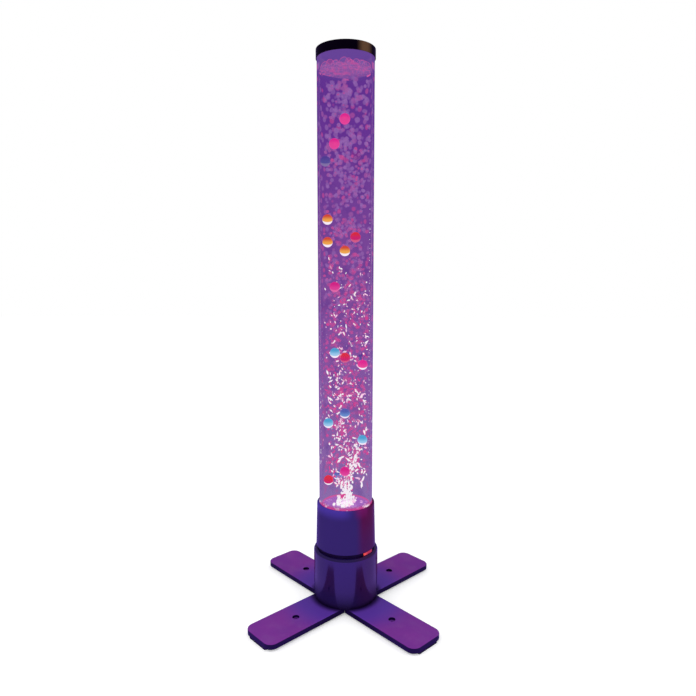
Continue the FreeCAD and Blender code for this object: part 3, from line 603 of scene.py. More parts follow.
# Painted light near the rim and a painted maroon reflection down the right side.
blue_side = band(tree, place["Angle"], -120.0, -60.0, -6.0, 24.0)
blue_glow_share = product(tree, near_rim, blue_side, 0.85)
blued = mixed(tree, blue_glow_share, collar.skin["Color"], srgb(72, 52, 158))
maroon_reflection = band(tree, place["Angle"], 20.0, 40.0, 96.0, 120.0)
maroon_fall = ramp(tree, place["Height"], collar_low.z, collar_high.z, 0.55, 1.0)
maroon_reflected = mixed(tree, product(tree, maroon_reflection, maroon_fall), blued, srgb(84, 14, 68))
magenta_side = band(tree, place["Angle"], 14.0, 32.0, 44.0, 56.0)
magenta_glow_share = product(tree, near_rim, magenta_side, 0.6)
collar_color = mixed(tree, magenta_glow_share, maroon_reflected, srgb(120, 20, 104))
tree.links.new(collar_color, collar.shader["Base Color"])
dress(collar.material, "tube_collar")


# ---- Tube floor and air nozzle -----------------------------------------------------------------
# A thick acrylic disc glued into the tube, which the lamps shine up through, and a white nozzle
# that lets the pump's air into the water. Both glow with painted light: the disc lilac, pink at its
# rim towards the front, with painted white highlights, and the nozzle pale pink.
floor_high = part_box("tube_floor")[1]
disc = moulded(
    "floor_acrylic",
    [(150, 90, 160), (160, 100, 170), (230, 150, 210)],
    cloud=60.0,
    grain=300.0,
    roughness=0.15,
    spread=0.1,
    rub=0.3,
    shader={"Emission Strength": 0.85},
)
tree = disc.tree
place = way_round(tree)
rim_glow = ramp(tree, place["Radius"], floor_high.x * 0.78, floor_high.x * 0.98)
near_front = ramp(tree, maths(tree, "ABSOLUTE", place["Angle"]), 110.0, 60.0, 0.15, 1.0)
rim_glow = product(tree, rim_glow, near_front)
disc_color = mixed(tree, rim_glow, srgb(138, 92, 160), srgb(206, 66, 138))
# Painted white-pink highlights on the disc.
disc_highlights = ramp(tree, noise(tree, 80.0, 3.0), 0.6, 0.72)
disc_highlighted = mixed(tree, disc_highlights, disc_color, srgb(244, 190, 226))
tree.links.new(disc_highlighted, disc.shader["Emission Color"])
dress(disc.material, "tube_floor")

nozzle = moulded(
    "nozzle_white",
    [(226, 214, 230), (232, 222, 236), (250, 246, 252)],
    cloud=120.0,
    grain=900.0,
    roughness=0.35,
    spread=0.1,
    rub=0.3,
    shader={"Emission Strength": 0.5, "Emission Color": srgb(240, 200, 236)},
)
dress(nozzle.material, "air_nozzle", "nozzle_nut")


# ---- Acrylic tube ------------------------------------------------------------------------------
# A tall tube of cast clear acrylic with a thick wall. Towards both sides, where the eye looks along
# the plastic, the wall shows the water's painted violet glow, with painted shade at the very edge,
# and its lower end has a painted pink glow with white highlights.
tube_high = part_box("acrylic_tube")[1]
tube_outer = tube_high.x
tube_inner = floor_high.x + 0.0001
water_level = 0.975


def see_through(name):
    """A blank see-through material: the material, its tree and the surface socket."""
    material, tree, surface = blank(name)
    material.use_backface_culling = True
    return material, tree, surface


def seen_edge_on(tree):
    """0 where a surface faces the eye, rising to 1 where it is seen edge on."""
    return add(tree, "LayerWeight", {"Blend": 0.5}).outputs["Facing"]


def from_front(tree, share):
    """A share that is nothing on the back of a face."""
    behind = add(tree, "NewGeometry").outputs["Backfacing"]
    return product(tree, share, maths(tree, "SUBTRACT", 1.0, behind))


def glowing(tree, color, share):
    """A shader that is plain light where share is 1 and clear where it is 0."""
    light = add(tree, "Emission", {"Color": color}).outputs[0]
    clear = add(tree, "BsdfTransparent").outputs[0]
    return add(tree, "MixShader", {0: share, 1: clear, 2: light}).outputs[0]


rounds_group, rounds_in, rounds_out = new_group(
    "blurred_bubbles",
    {"Scale": 120.0, "Size": 0.4, "Stretch": 1.0, "Offset": 0.0},
    values=["Mask", "Pick"],
)
tree = rounds_group
stretch = add(tree, "CombineXYZ", {"X": 1.0, "Y": 1.0, "Z": rounds_in["Stretch"]}).outputs[0]
spot = add(tree, "VectorMath", {0: in_place(tree), 1: stretch}, operation="MULTIPLY").outputs[0]
spot = add(tree, "VectorMath", {0: spot, 1: rounds_in["Offset"]}, operation="ADD").outputs[0]
cells = add(tree, "TexVoronoi", {"Vector": spot, "Scale": rounds_in["Scale"]}).outputs
core = maths(tree, "MULTIPLY", rounds_in["Size"], 0.62)
tree.links.new(ramp(tree, cells["Distance"], rounds_in["Size"], core), rounds_out["Mask"])
pick = add(tree, "SeparateColor", {0: cells["Color"]}).outputs[0]
tree.links.new(pick, rounds_out["Pick"])

glow_group, glow_in, glow_out = new_group(
    "lit_water",
    {"Clouds": 0.5, "Pink": 0.3, "Bubbles": 0.5, "Flecks": 0.5, "Offset": 0.0},
    colors=["Color"],
)
glow_stops = {
    0.196: (138, 108, 168),
    0.300: (136, 96, 164),
    0.500: (128, 80, 155),
    0.700: (119, 68, 150),
    0.880: (102, 51, 145),
    0.968: (98, 50, 144),
    0.980: (94, 62, 146),
    1.004: (116, 77, 152),
}
tree = glow_group
height = axes(tree, in_place(tree))["Z"]
glow_share = ramp(tree, height, floor_high.z, tube_high.z, smooth=False)
glow_colors = add(tree, "ValToRGB", {"Fac": glow_share})
stops = glow_colors.color_ramp.elements
for stop_height, tone in glow_stops.items():
    share = (stop_height - floor_high.z) / (tube_high.z - floor_high.z)
    stops.new(min(max(share, 0.0), 1.0)).color = srgb(*tone)
stops.remove(stops[-1])
stops.remove(stops[0])
clouds = product(tree, ramp(tree, noise(tree, 38.0, 3.0), 0.45, 0.75), glow_in["Clouds"])
color = mixed(tree, clouds, glow_colors.outputs[0], srgb(84, 44, 134))
blush = add(tree, "TexNoise", {"Vector": in_place(tree), "Scale": 70.0, "Detail": 4.0})
blush = add(tree, "SeparateColor", {0: blush.outputs[1]}).outputs[0]
blush = product(
    tree, ramp(tree, blush, 0.5, 0.75), ramp(tree, height, 0.75, 0.35), glow_in["Pink"]
)
color = mixed(tree, blush, color, srgb(186, 74, 142))
rounds = use(
    tree,
    rounds_group,
    {
        "Scale": 78.0,
        "Size": ramp(tree, height, 0.35, 0.9, 0.36, 0.46),
        "Offset": glow_in["Offset"],
    },
)
fewer_pink = product(tree, ramp(tree, height, 0.30, 0.90), 0.42)
pick = maths(tree, "SUBTRACT", rounds["Pick"], fewer_pink)
round_color = mixed(tree, ramp(tree, pick, 0.1, 0.5), srgb(152, 104, 176), srgb(202, 76, 148))
round_share = product(
    tree,
    rounds["Mask"],
    glow_in["Bubbles"],
    ramp(tree, height, water_level - 0.004, water_level - 0.012),
    ramp(tree, height, 0.24, 0.36),
)
color = mixed(tree, round_share, color, round_color)
flecks = use(
    tree,
    rounds_group,
    {
        "Scale": 190.0,
        "Size": ramp(tree, height, 0.66, 0.30, 0.05, 0.34),
        "Stretch": 0.55,
        "Offset": glow_in["Offset"],
    },
)
fleck_share = product(
    tree,
    flecks["Mask"],
    ramp(tree, flecks["Pick"], 0.50, 0.56),
    glow_in["Flecks"],
    band(tree, height, 0.235, 0.29, 0.5, 0.66),
)
fleck_core = ramp(tree, flecks["Mask"], 0.3, 0.9)
fleck_color = mixed(tree, fleck_core, srgb(224, 84, 158), srgb(255, 250, 255))
tree.links.new(mixed(tree, fleck_share, color, fleck_color), glow_out["Color"])

acrylic, tree, surface = see_through("clear_acrylic")
edge_on = seen_edge_on(tree)
place = way_round(tree)
outer_face = ramp(tree, place["Radius"], tube_inner + 0.001, tube_outer - 0.001)
wall_share = product(tree, outer_face, ramp(tree, edge_on, 0.52, 0.68, 0.0, 0.98))
foot_glow = ramp(tree, place["Height"], collar_high.z + 0.0075, collar_high.z + 0.001)
wall_fill = maths(tree, "MAXIMUM", wall_share, product(tree, foot_glow, 0.8))
wall_color = use(tree, glow_group, {"Bubbles": 0.5, "Flecks": 0.9, "Offset": 0.37})["Color"]
# Painted shade along the very edge of the wall.
wall_edge_shade = product(tree, ramp(tree, edge_on, 0.78, 0.92), 0.2)
wall_color = mixed(tree, wall_edge_shade, wall_color, srgb(78, 44, 140))
froth_offsets = (-0.004, 0.001, 0.007, 0.011)
froth_zone = band(tree, place["Height"], *[water_level + offset for offset in froth_offsets])
sparks = noise(tree, 60.0, 2.0)
froth_tone = mixed(tree, ramp(tree, sparks, 0.45, 0.58), srgb(150, 94, 168), srgb(204, 84, 160))
wall_color = mixed(tree, product(tree, froth_zone, 0.85), wall_color, froth_tone)
# Painted pink glow at the wall's foot, with painted white highlights.
foot_glow_color = mixed(tree, ramp(tree, sparks, 0.56, 0.64), srgb(200, 62, 138), srgb(255, 236, 250))
wall_body = glowing(tree, mixed(tree, foot_glow, wall_color, foot_glow_color), wall_fill)
scratched = bump(tree, noise(tree, 500.0, 3.0), 0.02, 0.0002)
wall_gloss = add(tree, "BsdfGlossy", {"Roughness": 0.04, "Normal": scratched}).outputs[0]
mirror_share = maths(tree, "MINIMUM", add(tree, "Fresnel", {"IOR": 1.2}).outputs[0], 0.1)
sockets = {0: from_front(tree, mirror_share), 1: wall_body, 2: wall_gloss}
tree.links.new(add(tree, "MixShader", sockets).outputs[0], surface)
dress(acrylic, "acrylic_tube")


# ---- Balls -------------------------------------------------------------------------------------
# Nineteen hollow plastic balls in bright colours, which rise and sink in the stream of bubbles.
# Their glow is painted: the lamps' light from below is painted white on the undersides of some of
# them, and three of them glow dimmer and more violet.
ball_colors = {
    "pink": ((228, 38, 140), (236, 70, 150)),
    "magenta": ((214, 30, 128), (226, 66, 150)),
    "orange": ((214, 74, 36), (246, 178, 70)),
    "red": ((222, 44, 48), (208, 34, 104)),
    "cyan": ((70, 168, 206), (160, 214, 236)),
    "blue": ((76, 96, 170), (104, 150, 204)),
}
bright_rims = {"orange": 1.0, "cyan": 1.0, "blue": 0.9, "red": 0.1, "pink": 0.0, "magenta": 0.1}
lit_low = ("ball_09", "ball_16")
dim_balls = ("ball_13", "ball_17", "ball_19")


def ball_finish(name, tone, rim, dim):
    """One ball's plastic: its own colour above, painted white from below as lamplight by the share
    rim.
    """
    top, bottom = ball_colors[tone]
    plastic = moulded(
        f"{name}_plastic",
        [top, bottom, (255, 240, 250)],
        cloud=90.0,
        grain=900.0,
        roughness=0.3,
        spread=0.1,
        rub=0.1,
        relief=0.08,
        shader={"Emission Strength": 0.62 if dim else 0.88, "Specular IOR Level": 0.2},
    )
    tree = plastic.tree
    height = axes(tree, add(tree, "TexCoord").outputs["Generated"])["Z"]
    body = mixed(tree, ramp(tree, height, 0.86, 0.34), srgb(*top), srgb(*bottom))
    crescent = maths(tree, "SUBTRACT", height, product(tree, seen_edge_on(tree), 0.24))
    crescent = product(tree, ramp(tree, crescent, 0.24, 0.14), rim)
    lit = mixed(tree, crescent, body, srgb(255, 252, 253))
    shaded = mixed(tree, 0.75 if dim else 0.0, lit, srgb(96, 62, 160))
    tree.links.new(shaded, plastic.shader["Emission Color"])
    # The base colour also carries the painted light and dimming.
    lit_pigment = mixed(tree, 0.6, shaded, (0.0, 0.0, 0.0, 1.0))
    tree.links.new(lit_pigment, plastic.shader["Base Color"])
    return plastic.material


balls = sorted(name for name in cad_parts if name.startswith("ball_"))
for name in balls:
    packed_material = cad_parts[name].data.materials[0].name
    tone = packed_material.split(".")[0].removeprefix("ball_")
    rim = 1.0 if name in lit_low else bright_rims[tone]
    dress(ball_finish(name, tone, rim, name in dim_balls), name)


# ---- Water -------------------------------------------------------------------------------------
# Water fills the tube from its floor to three centimetres under the cap, round the air nozzle. Its
# far side glows an even violet, its near side is only a thin veil, and its top is churned up.
lining_radius = tube_inner - 0.0002
water_radius = tube_inner - 0.0005
haze_radius = 0.0266
floor_gap = 0.0003
side_low, haze_low = 0.21, 0.212
around_steps = 128


def as_piece(name, mesh):
    """A new object from a mesh in the making, smooth and linked to the scene."""
    data = bpy.data.meshes.new(name)
    mesh.to_mesh(data)
    mesh.free()
    data.polygons.foreach_set("use_smooth", [True] * len(data.polygons))
    piece = bpy.data.objects.new(name, data)
    bpy.context.scene.collection.objects.link(piece)
    return piece


def turned(name, rings, closed=False, lift=None):
    """A turned mesh through rings of (radius, height). lift moves a point up by its place."""
    mesh = bmesh.new()
    rows = []
    for radius, height in rings:
        count = around_steps if radius else 1
        points = []
        for step in range(count):
            turn = 2 * math.pi * step / count
            x, y = radius * math.sin(turn), -radius * math.cos(turn)
            points.append(mesh.verts.new((x, y, height + (lift(x, y, height) if lift else 0))))
        rows.append(points)
    for low, high in zip(rows, rows[1:]):
        for step in range(around_steps):
            after = (step + 1) % around_steps
            face_corners = [low[step % len(low)], low[after % len(low)]]
            face_corners += [high[after % len(high)], high[step % len(high)]]
            mesh.faces.new(list(dict.fromkeys(face_corners)))
    if closed:
        bmesh.ops.recalc_face_normals(mesh, faces=mesh.faces)
    return as_piece(name, mesh)


def steps_up(low, high, count):
    """Evenly spaced heights from low to high."""
    return [low + (high - low) * step / count for step in range(count + 1)]


def far_highlights(tree, color):
    """Paints bright highlight lines on the tube's far side: at its foot, at the froth and at its top.
    """
    place = way_round(tree)
    foot_heights = [floor_high.z + offset for offset in (-0.0006, 0.0006, 0.0016, 0.0034)]
    color = mixed(tree, band(tree, place["Height"], *foot_heights), color, srgb(214, 84, 148))
    raft_heights = [water_level + offset for offset in (-0.0022, -0.0012, 0.0006, 0.0016)]
    gaps = ramp(tree, noise(tree, 90.0, 3.0), 0.50, 0.62)
    raft_line = product(tree, band(tree, place["Height"], *raft_heights), gaps)
    color = mixed(tree, raft_line, color, srgb(216, 96, 164))
    top_heights = (1.0018, 1.0028, 1.0034, 1.0044)
    top_line = product(
        tree,
        band(tree, place["Height"], *top_heights),
        band(tree, place["Angle"], -179.0, -168.0, -150.0, -125.0),
    )
    return mixed(tree, top_line, color, srgb(190, 150, 214))


def glowing_wall(name, share, lines=False, **glow):
    """Lit water seen as a wall of light from its front, more or less solid by its share."""
    material, tree, surface = see_through(name)
    color = use(tree, glow_group, glow)["Color"]
    if lines:
        color = far_highlights(tree, color)
    tree.links.new(glowing(tree, color, from_front(tree, share)), surface)
    material.cycles.emission_sampling = "NONE"
    return material


lining = turned(
    "water_glow",
    [(lining_radius, height) for height in steps_up(floor_high.z, tube_high.z - 0.0002, 24)][::-1],
)
lining.data.materials.append(
    glowing_wall("water_far_side", 1.0, True, Clouds=0.45, Pink=0.55, Bubbles=0.55, Flecks=0.35)
)

nozzle_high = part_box("air_nozzle")[1]
recess_radius = 0.0094
recess_height = nozzle_high.z + 0.0005
top_height = water_level + 0.0002


def waves(x, y, height):
    """How far the churned top of the water stands above its level at a place."""
    if height < water_level:
        return 0.0
    turn, reach = math.atan2(y, x), math.hypot(x, y)
    swell = math.sin(3 * turn + 180 * reach) + math.sin(5 * turn - 260 * reach + 1.7)
    return 0.0005 * (swell + 2.4)


water_rings = [(0.0, recess_height), (recess_radius, recess_height)]
water_rings += [(radius, floor_high.z + floor_gap) for radius in (recess_radius, water_radius)]
water_rings += [(water_radius, height) for height in steps_up(side_low, top_height, 24)]
water_rings += [(water_radius * share / 16, top_height) for share in range(15, -1, -1)]
water = turned("water_fill", water_rings, closed=True, lift=waves)
water.data.materials.append(
    glowing_wall("water_near_side", 0.05, Clouds=0.3, Pink=0.3, Bubbles=0.0, Flecks=0.0)
)

water_top, tree, surface = blank("water_top")
cells = add(tree, "TexVoronoi", {"Vector": in_place(tree), "Scale": 95.0}, feature="DISTANCE_TO_EDGE")
cell_edge = ramp(tree, cells.outputs["Distance"], 0.07, 0.01)
patches = noise(tree, 60.0, 4.0)
foam_color = mixed(tree, ramp(tree, patches, 0.54, 0.68), srgb(142, 92, 166), srgb(190, 80, 156))
foam_color = mixed(tree, cell_edge, foam_color, srgb(206, 96, 162))
tree.links.new(glowing(tree, foam_color, ramp(tree, patches, 0.3, 0.7, 0.45, 0.85)), surface)
water_top.cycles.emission_sampling = "NONE"
water.data.materials.append(water_top)
for face in water.data.polygons:
    if face.normal.z > 0.5 and face.center.z > water_level:
        face.material_index = 1

haze_heights = steps_up(haze_low, water_level - 0.003, 20)
haze = turned("water_haze", [(haze_radius, height) for height in haze_heights])
haze.data.materials.append(
    glowing_wall("water_depth", 0.08, Clouds=0.6, Pink=0.25, Bubbles=0.0, Flecks=0.0)
)
for piece in (lining, water, haze):
    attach(piece, "root")


# ---- Bubbles -----------------------------------------------------------------------------------
# Air rises from the nozzle in a stream that leans to the right, breaks up into glittering flecks
# and spreads out into large soft bubbles. They keep clear of the lanes where the balls travel.
ball_boxes = [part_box(name) for name in balls]
lanes = {(round((low.x + high.x) / 2, 4), round((low.y + high.y) / 2, 4)) for low, high in ball_boxes}
ball_reach = (ball_boxes[0][1].x - ball_boxes[0][0].x) / 2
lane_clearance = 0.0003


def is_clear(x, y, reach):
    """True if a bubble of this reach fits inside the water and outside every ball's lane."""
    if math.hypot(x, y) + reach > water_radius - lane_clearance:
        return False
    room = ball_reach + lane_clearance + reach
    return all(math.hypot(x - lane_x, y - lane_y) > room for lane_x, lane_y in lanes)


def unit_ball(detail):
    """The corners and triangles of a ball of radius 1."""
    mesh = bmesh.new()
    bmesh.ops.create_icosphere(mesh, subdivisions=detail, radius=1.0)
    corners_of_ball = np.array([vertex.co for vertex in mesh.verts])
    triangles = np.array([[vertex.index for vertex in face.verts] for face in mesh.faces])
    mesh.free()
    return corners_of_ball, triangles


def turned_axes(lean, heading):
    """A turn that leans the upright axis over by lean towards heading, as a matrix."""
    lean_cos, lean_sin = math.cos(lean), math.sin(lean)
    turn_cos, turn_sin = math.cos(heading), math.sin(heading)
    lean_over = np.array([[lean_cos, 0, lean_sin], [0, 1, 0], [-lean_sin, 0, lean_cos]])
    swing = np.array([[turn_cos, -turn_sin, 0], [turn_sin, turn_cos, 0], [0, 0, 1]])
    return swing @ lean_over


def bubbles(name, material, spots, detail, lump=0.08):
    """One piece of many bubbles. A spot is a centre, radii, lean, heading, colour and share."""
    corners_of_ball, triangles = unit_ball(detail)
    count = len(corners_of_ball)
    points, tints = [], []
    for index, (centre, radii, lean, heading, color, share) in enumerate(spots):
        wave = np.sin(3.0 * corners_of_ball @ np.array([1.3, 0.7, 1.1]) + 2.1 * index)
        shape = corners_of_ball * (1 - lump * 0.5 + lump * 0.5 * wave)[:, None] * np.array(radii)
        points.append(shape @ turned_axes(lean, heading).T + np.array(centre))
        tints.append(np.tile([*color[:3], share], (count, 1)))
    faces = np.concatenate([triangles + index * count for index in range(len(spots))])
    data = bpy.data.meshes.new(name)
    data.from_pydata(np.concatenate(points).tolist(), [], faces.tolist())
    data.polygons.foreach_set("use_smooth", [True] * len(data.polygons))
    tint = data.color_attributes.new("tint", "FLOAT_COLOR", "POINT")
    tint.data.foreach_set("color", np.concatenate(tints).astype(np.float32).ravel())
    data.materials.append(material)
    piece = bpy.data.objects.new(name, data)
    bpy.context.scene.collection.objects.link(piece)
    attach(piece, "root")
    return piece


def bubble_finish(name, fringe, fringe_share, soft_start):
    """Light caught in a bubble: its own colour in the middle, a fringe colour at its edge."""
    material, tree, surface = see_through(name)
    tint = add(tree, "Attribute", attribute_name="tint").outputs
    edge = seen_edge_on(tree)
    fringed = product(tree, ramp(tree, edge, 0.35, 0.8), fringe_share)
    color = mixed(tree, fringed, tint["Color"], fringe)
    share = product(tree, ramp(tree, edge, soft_start, 1.0, 1.0, 0.0), tint["Alpha"])
    tree.links.new(glowing(tree, color, from_front(tree, share)), surface)
    material.cycles.emission_sampling = "NONE"
    return material


lilac = srgb(150, 104, 176)
mauve = srgb(166, 92, 164)
rose = srgb(202, 80, 150)
hot_pink = srgb(222, 66, 142)
pale = srgb(255, 206, 236)
white = srgb(255, 252, 255)
draw = random.Random(7012)


def even_spot(reach):
    """A random place that is clear for a bubble of this reach, spread evenly from side to side."""
    while True:
        x = draw.uniform(reach - water_radius, water_radius - reach)
        half = math.sqrt(max((water_radius - reach) ** 2 - x * x, 0.0))
        for _ in range(40):
            y = draw.uniform(-half, half)
            if is_clear(x, y, reach):
                return x, y


def clusters(low, high, count, spread):
    """Bubble places in loose clumps between two heights, as a list of centre points."""
    places = []
    while len(places) < count:
        middle, centre_height = even_spot(0.004), draw.uniform(low, high)
        for _ in range(draw.randint(2, 6)):
            x, y = (value + draw.gauss(0, spread) for value in middle)
            places.append((x, y, centre_height + draw.gauss(0, spread)))
    return places[:count]


def soft_zone(low, high, count, small, large, tones):
    """Soft bubbles between two heights, each with a colour drawn from the tones."""
    spots = []
    for x, y, height in clusters(low, high, count, 0.007):
        size = draw.uniform(small, large)
        if height + size > water_level - 0.002 or not is_clear(x, y, size):
            x, y = even_spot(size)
            height = draw.uniform(low, high - size)
        color = draw.choice(tones)
        radii = (size, size * draw.uniform(0.75, 1.0), size * draw.uniform(0.7, 1.0))
        share = draw.uniform(0.45, 0.8)
        lean, heading = draw.uniform(0, 1.2), draw.uniform(0, 6.28)
        spots.append(((x, y, height), radii, lean, heading, color, share))
        if color is lilac and draw.random() < 0.2:
            heart = tuple(reach * 0.45 for reach in radii)
            spots.append(((x, y - size * 0.5, height), heart, 0.0, 0.0, rose, 0.6))
    return spots


soft_spots = soft_zone(0.85, 0.968, 150, 0.0034, 0.0062, [lilac] * 8 + [mauve] * 2)
soft_spots += soft_zone(0.70, 0.86, 260, 0.0028, 0.0048, [lilac] * 5 + [mauve] * 3 + [rose])
soft_spots += soft_zone(0.56, 0.72, 270, 0.0026, 0.0044, [lilac] * 3 + [mauve] * 3 + [rose] * 3)
bubbles("soft_bubbles", bubble_finish("bubble_soft", rose, 0.1, 0.3), soft_spots, 2, 0.16)
patch_spots = soft_zone(0.25, 0.60, 560, 0.0024, 0.0056, [mauve, rose, rose, hot_pink])
bubbles("pink_patches", bubble_finish("bubble_pink", hot_pink, 0.2, 0.3), patch_spots, 2, 0.6)

fleck_spots = []
fleck_low, fleck_high = 0.235, 0.66
for x, y, height in clusters(fleck_low, fleck_high, 860, 0.005):
    rise = (height - fleck_low) / (fleck_high - fleck_low)
    if draw.random() < 0.75 * rise:
        continue
    size = draw.uniform(0.0009, 0.0021) * (1.2 - 0.45 * rise)
    length_up = size * draw.uniform(1.2, 3.4)
    if not is_clear(x, y, length_up):
        x, y = even_spot(length_up)
    color = white if draw.random() < 0.62 else pale if draw.random() < 0.5 else hot_pink
    lean, heading = draw.uniform(0, 1.4), draw.choice((0.0, 3.14)) + draw.gauss(0, 0.5)
    radii = (size, size * 0.8, length_up)
    fleck_spots.append(((x, y, height), radii, lean, heading, color, 1.0))
    if color is white and draw.random() < 0.5:
        halo = (size * 1.9, size * 1.4, length_up * 1.15)
        if is_clear(x, y, length_up * 1.3):
            fleck_spots.append(((x, y + size * 2, height), halo, lean, heading, hot_pink, 0.6))
fleck_finish = bubble_finish("bubble_bright", srgb(236, 96, 170), 0.45, 0.9)
bubbles("bright_flecks", fleck_finish, fleck_spots, 2, 0.5)

plume_spots = []
stream_count, plume_count = 230, 330
plume_low, plume_rise = 0.209, 0.112
while len(plume_spots) < stream_count:
    rise = draw.random() ** 1.15
    height = plume_low + plume_rise * rise
    middle = 0.001 + 0.024 * rise**1.3
    size = draw.uniform(0.0010, 0.0030) * (1.15 - 0.55 * rise)
    length_up = size * draw.uniform(1.1, 2.4)
    x, y = middle + draw.gauss(0, 0.0058 - 0.001 * rise), draw.gauss(0, 0.008)
    if not is_clear(x, y, length_up):
        continue
    color = white if draw.random() < 0.8 else hot_pink
    lean, heading = abs(draw.gauss(0.3, 0.35)), draw.gauss(0, 0.6)
    radii = (size, size * 0.8, length_up)
    plume_spots.append(((x, y, height), radii, lean, heading, color, 1.0))
while len(plume_spots) < plume_count:
    out = 0.0096 + 0.012 * abs(draw.gauss(0, 0.6))
    turn = draw.uniform(0, 2 * math.pi)
    x, y = out * math.sin(turn), -out * math.cos(turn)
    size = draw.uniform(0.0012, 0.0030)
    height = floor_high.z + size + 0.016 * draw.random() ** 2
    if not is_clear(x, y, size * 1.6):
        continue
    color = white if draw.random() < 0.85 else pale
    radii = (size * 1.5, size, size * draw.uniform(0.6, 1.6))
    lean, heading = draw.gauss(0, 0.5), draw.uniform(0, 6.28)
    plume_spots.append(((x, y, height), radii, lean, heading, color, 1.0))
plume_finish = bubble_finish("bubble_plume", srgb(238, 110, 180), 0.3, 0.92)
bubbles("air_plume", plume_finish, plume_spots, 2, 0.55)

cling_spots = []
cling_height, cling_top, cling_angle = 0.29, 0.74, 75
while cling_height < cling_top:
    cling_height += draw.uniform(0.004, 0.015)
    turn = math.radians(cling_angle + draw.gauss(0, 1.2))
    size = draw.uniform(0.0004, 0.0007)
    reach = water_radius - size - 0.0004
    place_on_wall = (reach * math.sin(turn), -reach * math.cos(turn), cling_height)
    color = white if draw.random() < 0.6 else pale
    cling_spots.append((place_on_wall, (size, size, size * 1.6), 0.0, 0.0, color, 0.9))
cling_finish = bubble_finish("bubble_clinging", srgb(236, 150, 200), 0.5, 0.8)
bubbles("clinging_bubbles", cling_finish, cling_spots, 2)


# ---- Froth -------------------------------------------------------------------------------------
# Where the stream breaks the surface it leaves a raft of thin-walled domes, which crowd against
# the tube. Each is clear in the middle and outlined in pink.
froth_spots = []
froth_count = 84
froth_reach = water_radius - 0.0006
raft_level = water_level + 0.0024
raft_floor = water_level + 0.0016
row_turn = 0.0
while row_turn < 2 * math.pi:
    size = draw.uniform(0.0048, 0.0090)
    out = froth_reach - size
    row_turn += size / out
    x, y = out * math.sin(row_turn), -out * math.cos(row_turn)
    row_turn += size / out * draw.uniform(0.7, 1.1)
    color = lilac if draw.random() < 0.85 else rose
    froth_spots.append(((x, y, raft_level), (size, size, size * 1.2), 0.0, 0.0, color, 0.6))
while len(froth_spots) < froth_count:
    size = 0.0028 + 0.0064 * draw.random() ** 1.5
    turn = draw.uniform(0, 2 * math.pi)
    out = (froth_reach - size) * draw.random() ** 0.35
    x, y = out * math.sin(turn), -out * math.cos(turn)
    crowded = any(
        math.hypot(x - other[0][0], y - other[0][1]) < 0.62 * (size + other[1][0])
        for other in froth_spots
    )
    if crowded and draw.random() < 0.97:
        continue
    color = lilac if draw.random() < 0.75 else rose
    froth_spots.append(((x, y, raft_level), (size, size, size * 1.25), 0.0, 0.0, color, 0.5))

froth_film, tree, surface = see_through("froth_film")
tint = add(tree, "Attribute", attribute_name="tint").outputs
edge = seen_edge_on(tree)
film_color = mixed(tree, ramp(tree, edge, 0.52, 0.75), tint["Color"], srgb(218, 90, 160))
film_share = maths(
    tree, "MAXIMUM", ramp(tree, edge, 0.54, 0.74, 0.1, 0.95), product(tree, tint["Alpha"], 0.4)
)
above_raft = ramp(tree, way_round(tree)["Height"], raft_floor + 0.0001, raft_floor + 0.0007)
film_share = product(tree, from_front(tree, film_share), above_raft)
tree.links.new(glowing(tree, film_color, film_share), surface)
froth_film.cycles.emission_sampling = "NONE"
froth = bubbles("froth", froth_film, froth_spots, 3, 0.05)
for vertex in froth.data.vertices:
    vertex.co.z = max(vertex.co.z, raft_floor)


# ---- Cap and its gasket ------------------------------------------------------------------------
# A turned black lid, pushed over the tube onto a soft ring. Its side has a painted brown sheen, a
# warm reflection, to the right of the front, and its inside has a painted violet glow of the
# tube's light, with a lighter painted line near the lip.
cap_low, cap_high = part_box("tube_cap")
cap = moulded(
    "cap_gloss",
    [(4, 0, 10), (7, 2, 14), (60, 50, 70)],
    cloud=18.0,
    grain=500.0,
    roughness=0.24,
    spread=0.08,
    rub=0.2,
    relief=0.05,
    depth=0.0002,
    shader={"Specular IOR Level": 0.02, "Emission Strength": 1.0},
)
tree = cap.tree
place = way_round(tree)
on_side = ramp(tree, place["Radius"], cap_high.x - 0.0030, cap_high.x - 0.0012)
# Painted reflection: a brown sheen on the side, right of the front.
sheen = product(tree, band(tree, place["Angle"], 22.0, 38.0, 44.0, 64.0), on_side)
cap_color = mixed(tree, sheen, cap.skin["Color"], srgb(92, 66, 48))
tree.links.new(cap_color, cap.shader["Base Color"])
# Painted violet glow inside the cap, with a painted highlight line near its lip.
inside_cap = product(
    tree,
    ramp(tree, place["Radius"], tube_inner + 0.0002, tube_inner - 0.0002),
    ramp(tree, place["Height"], cap_high.z - 0.002, cap_high.z - 0.003),
)
lip_heights = [cap_low.z + offset for offset in (0.0042, 0.005, 0.0056, 0.0066)]
lip_highlight = band(tree, place["Height"], *lip_heights)
under_cap = mixed(tree, lip_highlight, srgb(100, 66, 148), srgb(168, 122, 200))
cap_glow = mixed(tree, inside_cap, (0.0, 0.0, 0.0, 1.0), under_cap)
tree.links.new(cap_glow, cap.shader["Emission Color"])
dress(cap.material, "tube_cap")
dress(soft_black.material, "cap_gasket")


# ---- Studio and viewpoint ----------------------------------------------------------------------
# A plain white room: a pale floor that keeps the lamp's shadow, two broad soft lamps, and the
# photograph's viewpoint, at two thirds of the lamp's height. Gloss mirrors it as a violet room.
scene = bpy.context.scene
scene.view_settings.view_transform = "Standard"
scene.cycles.transparent_max_bounces = 48

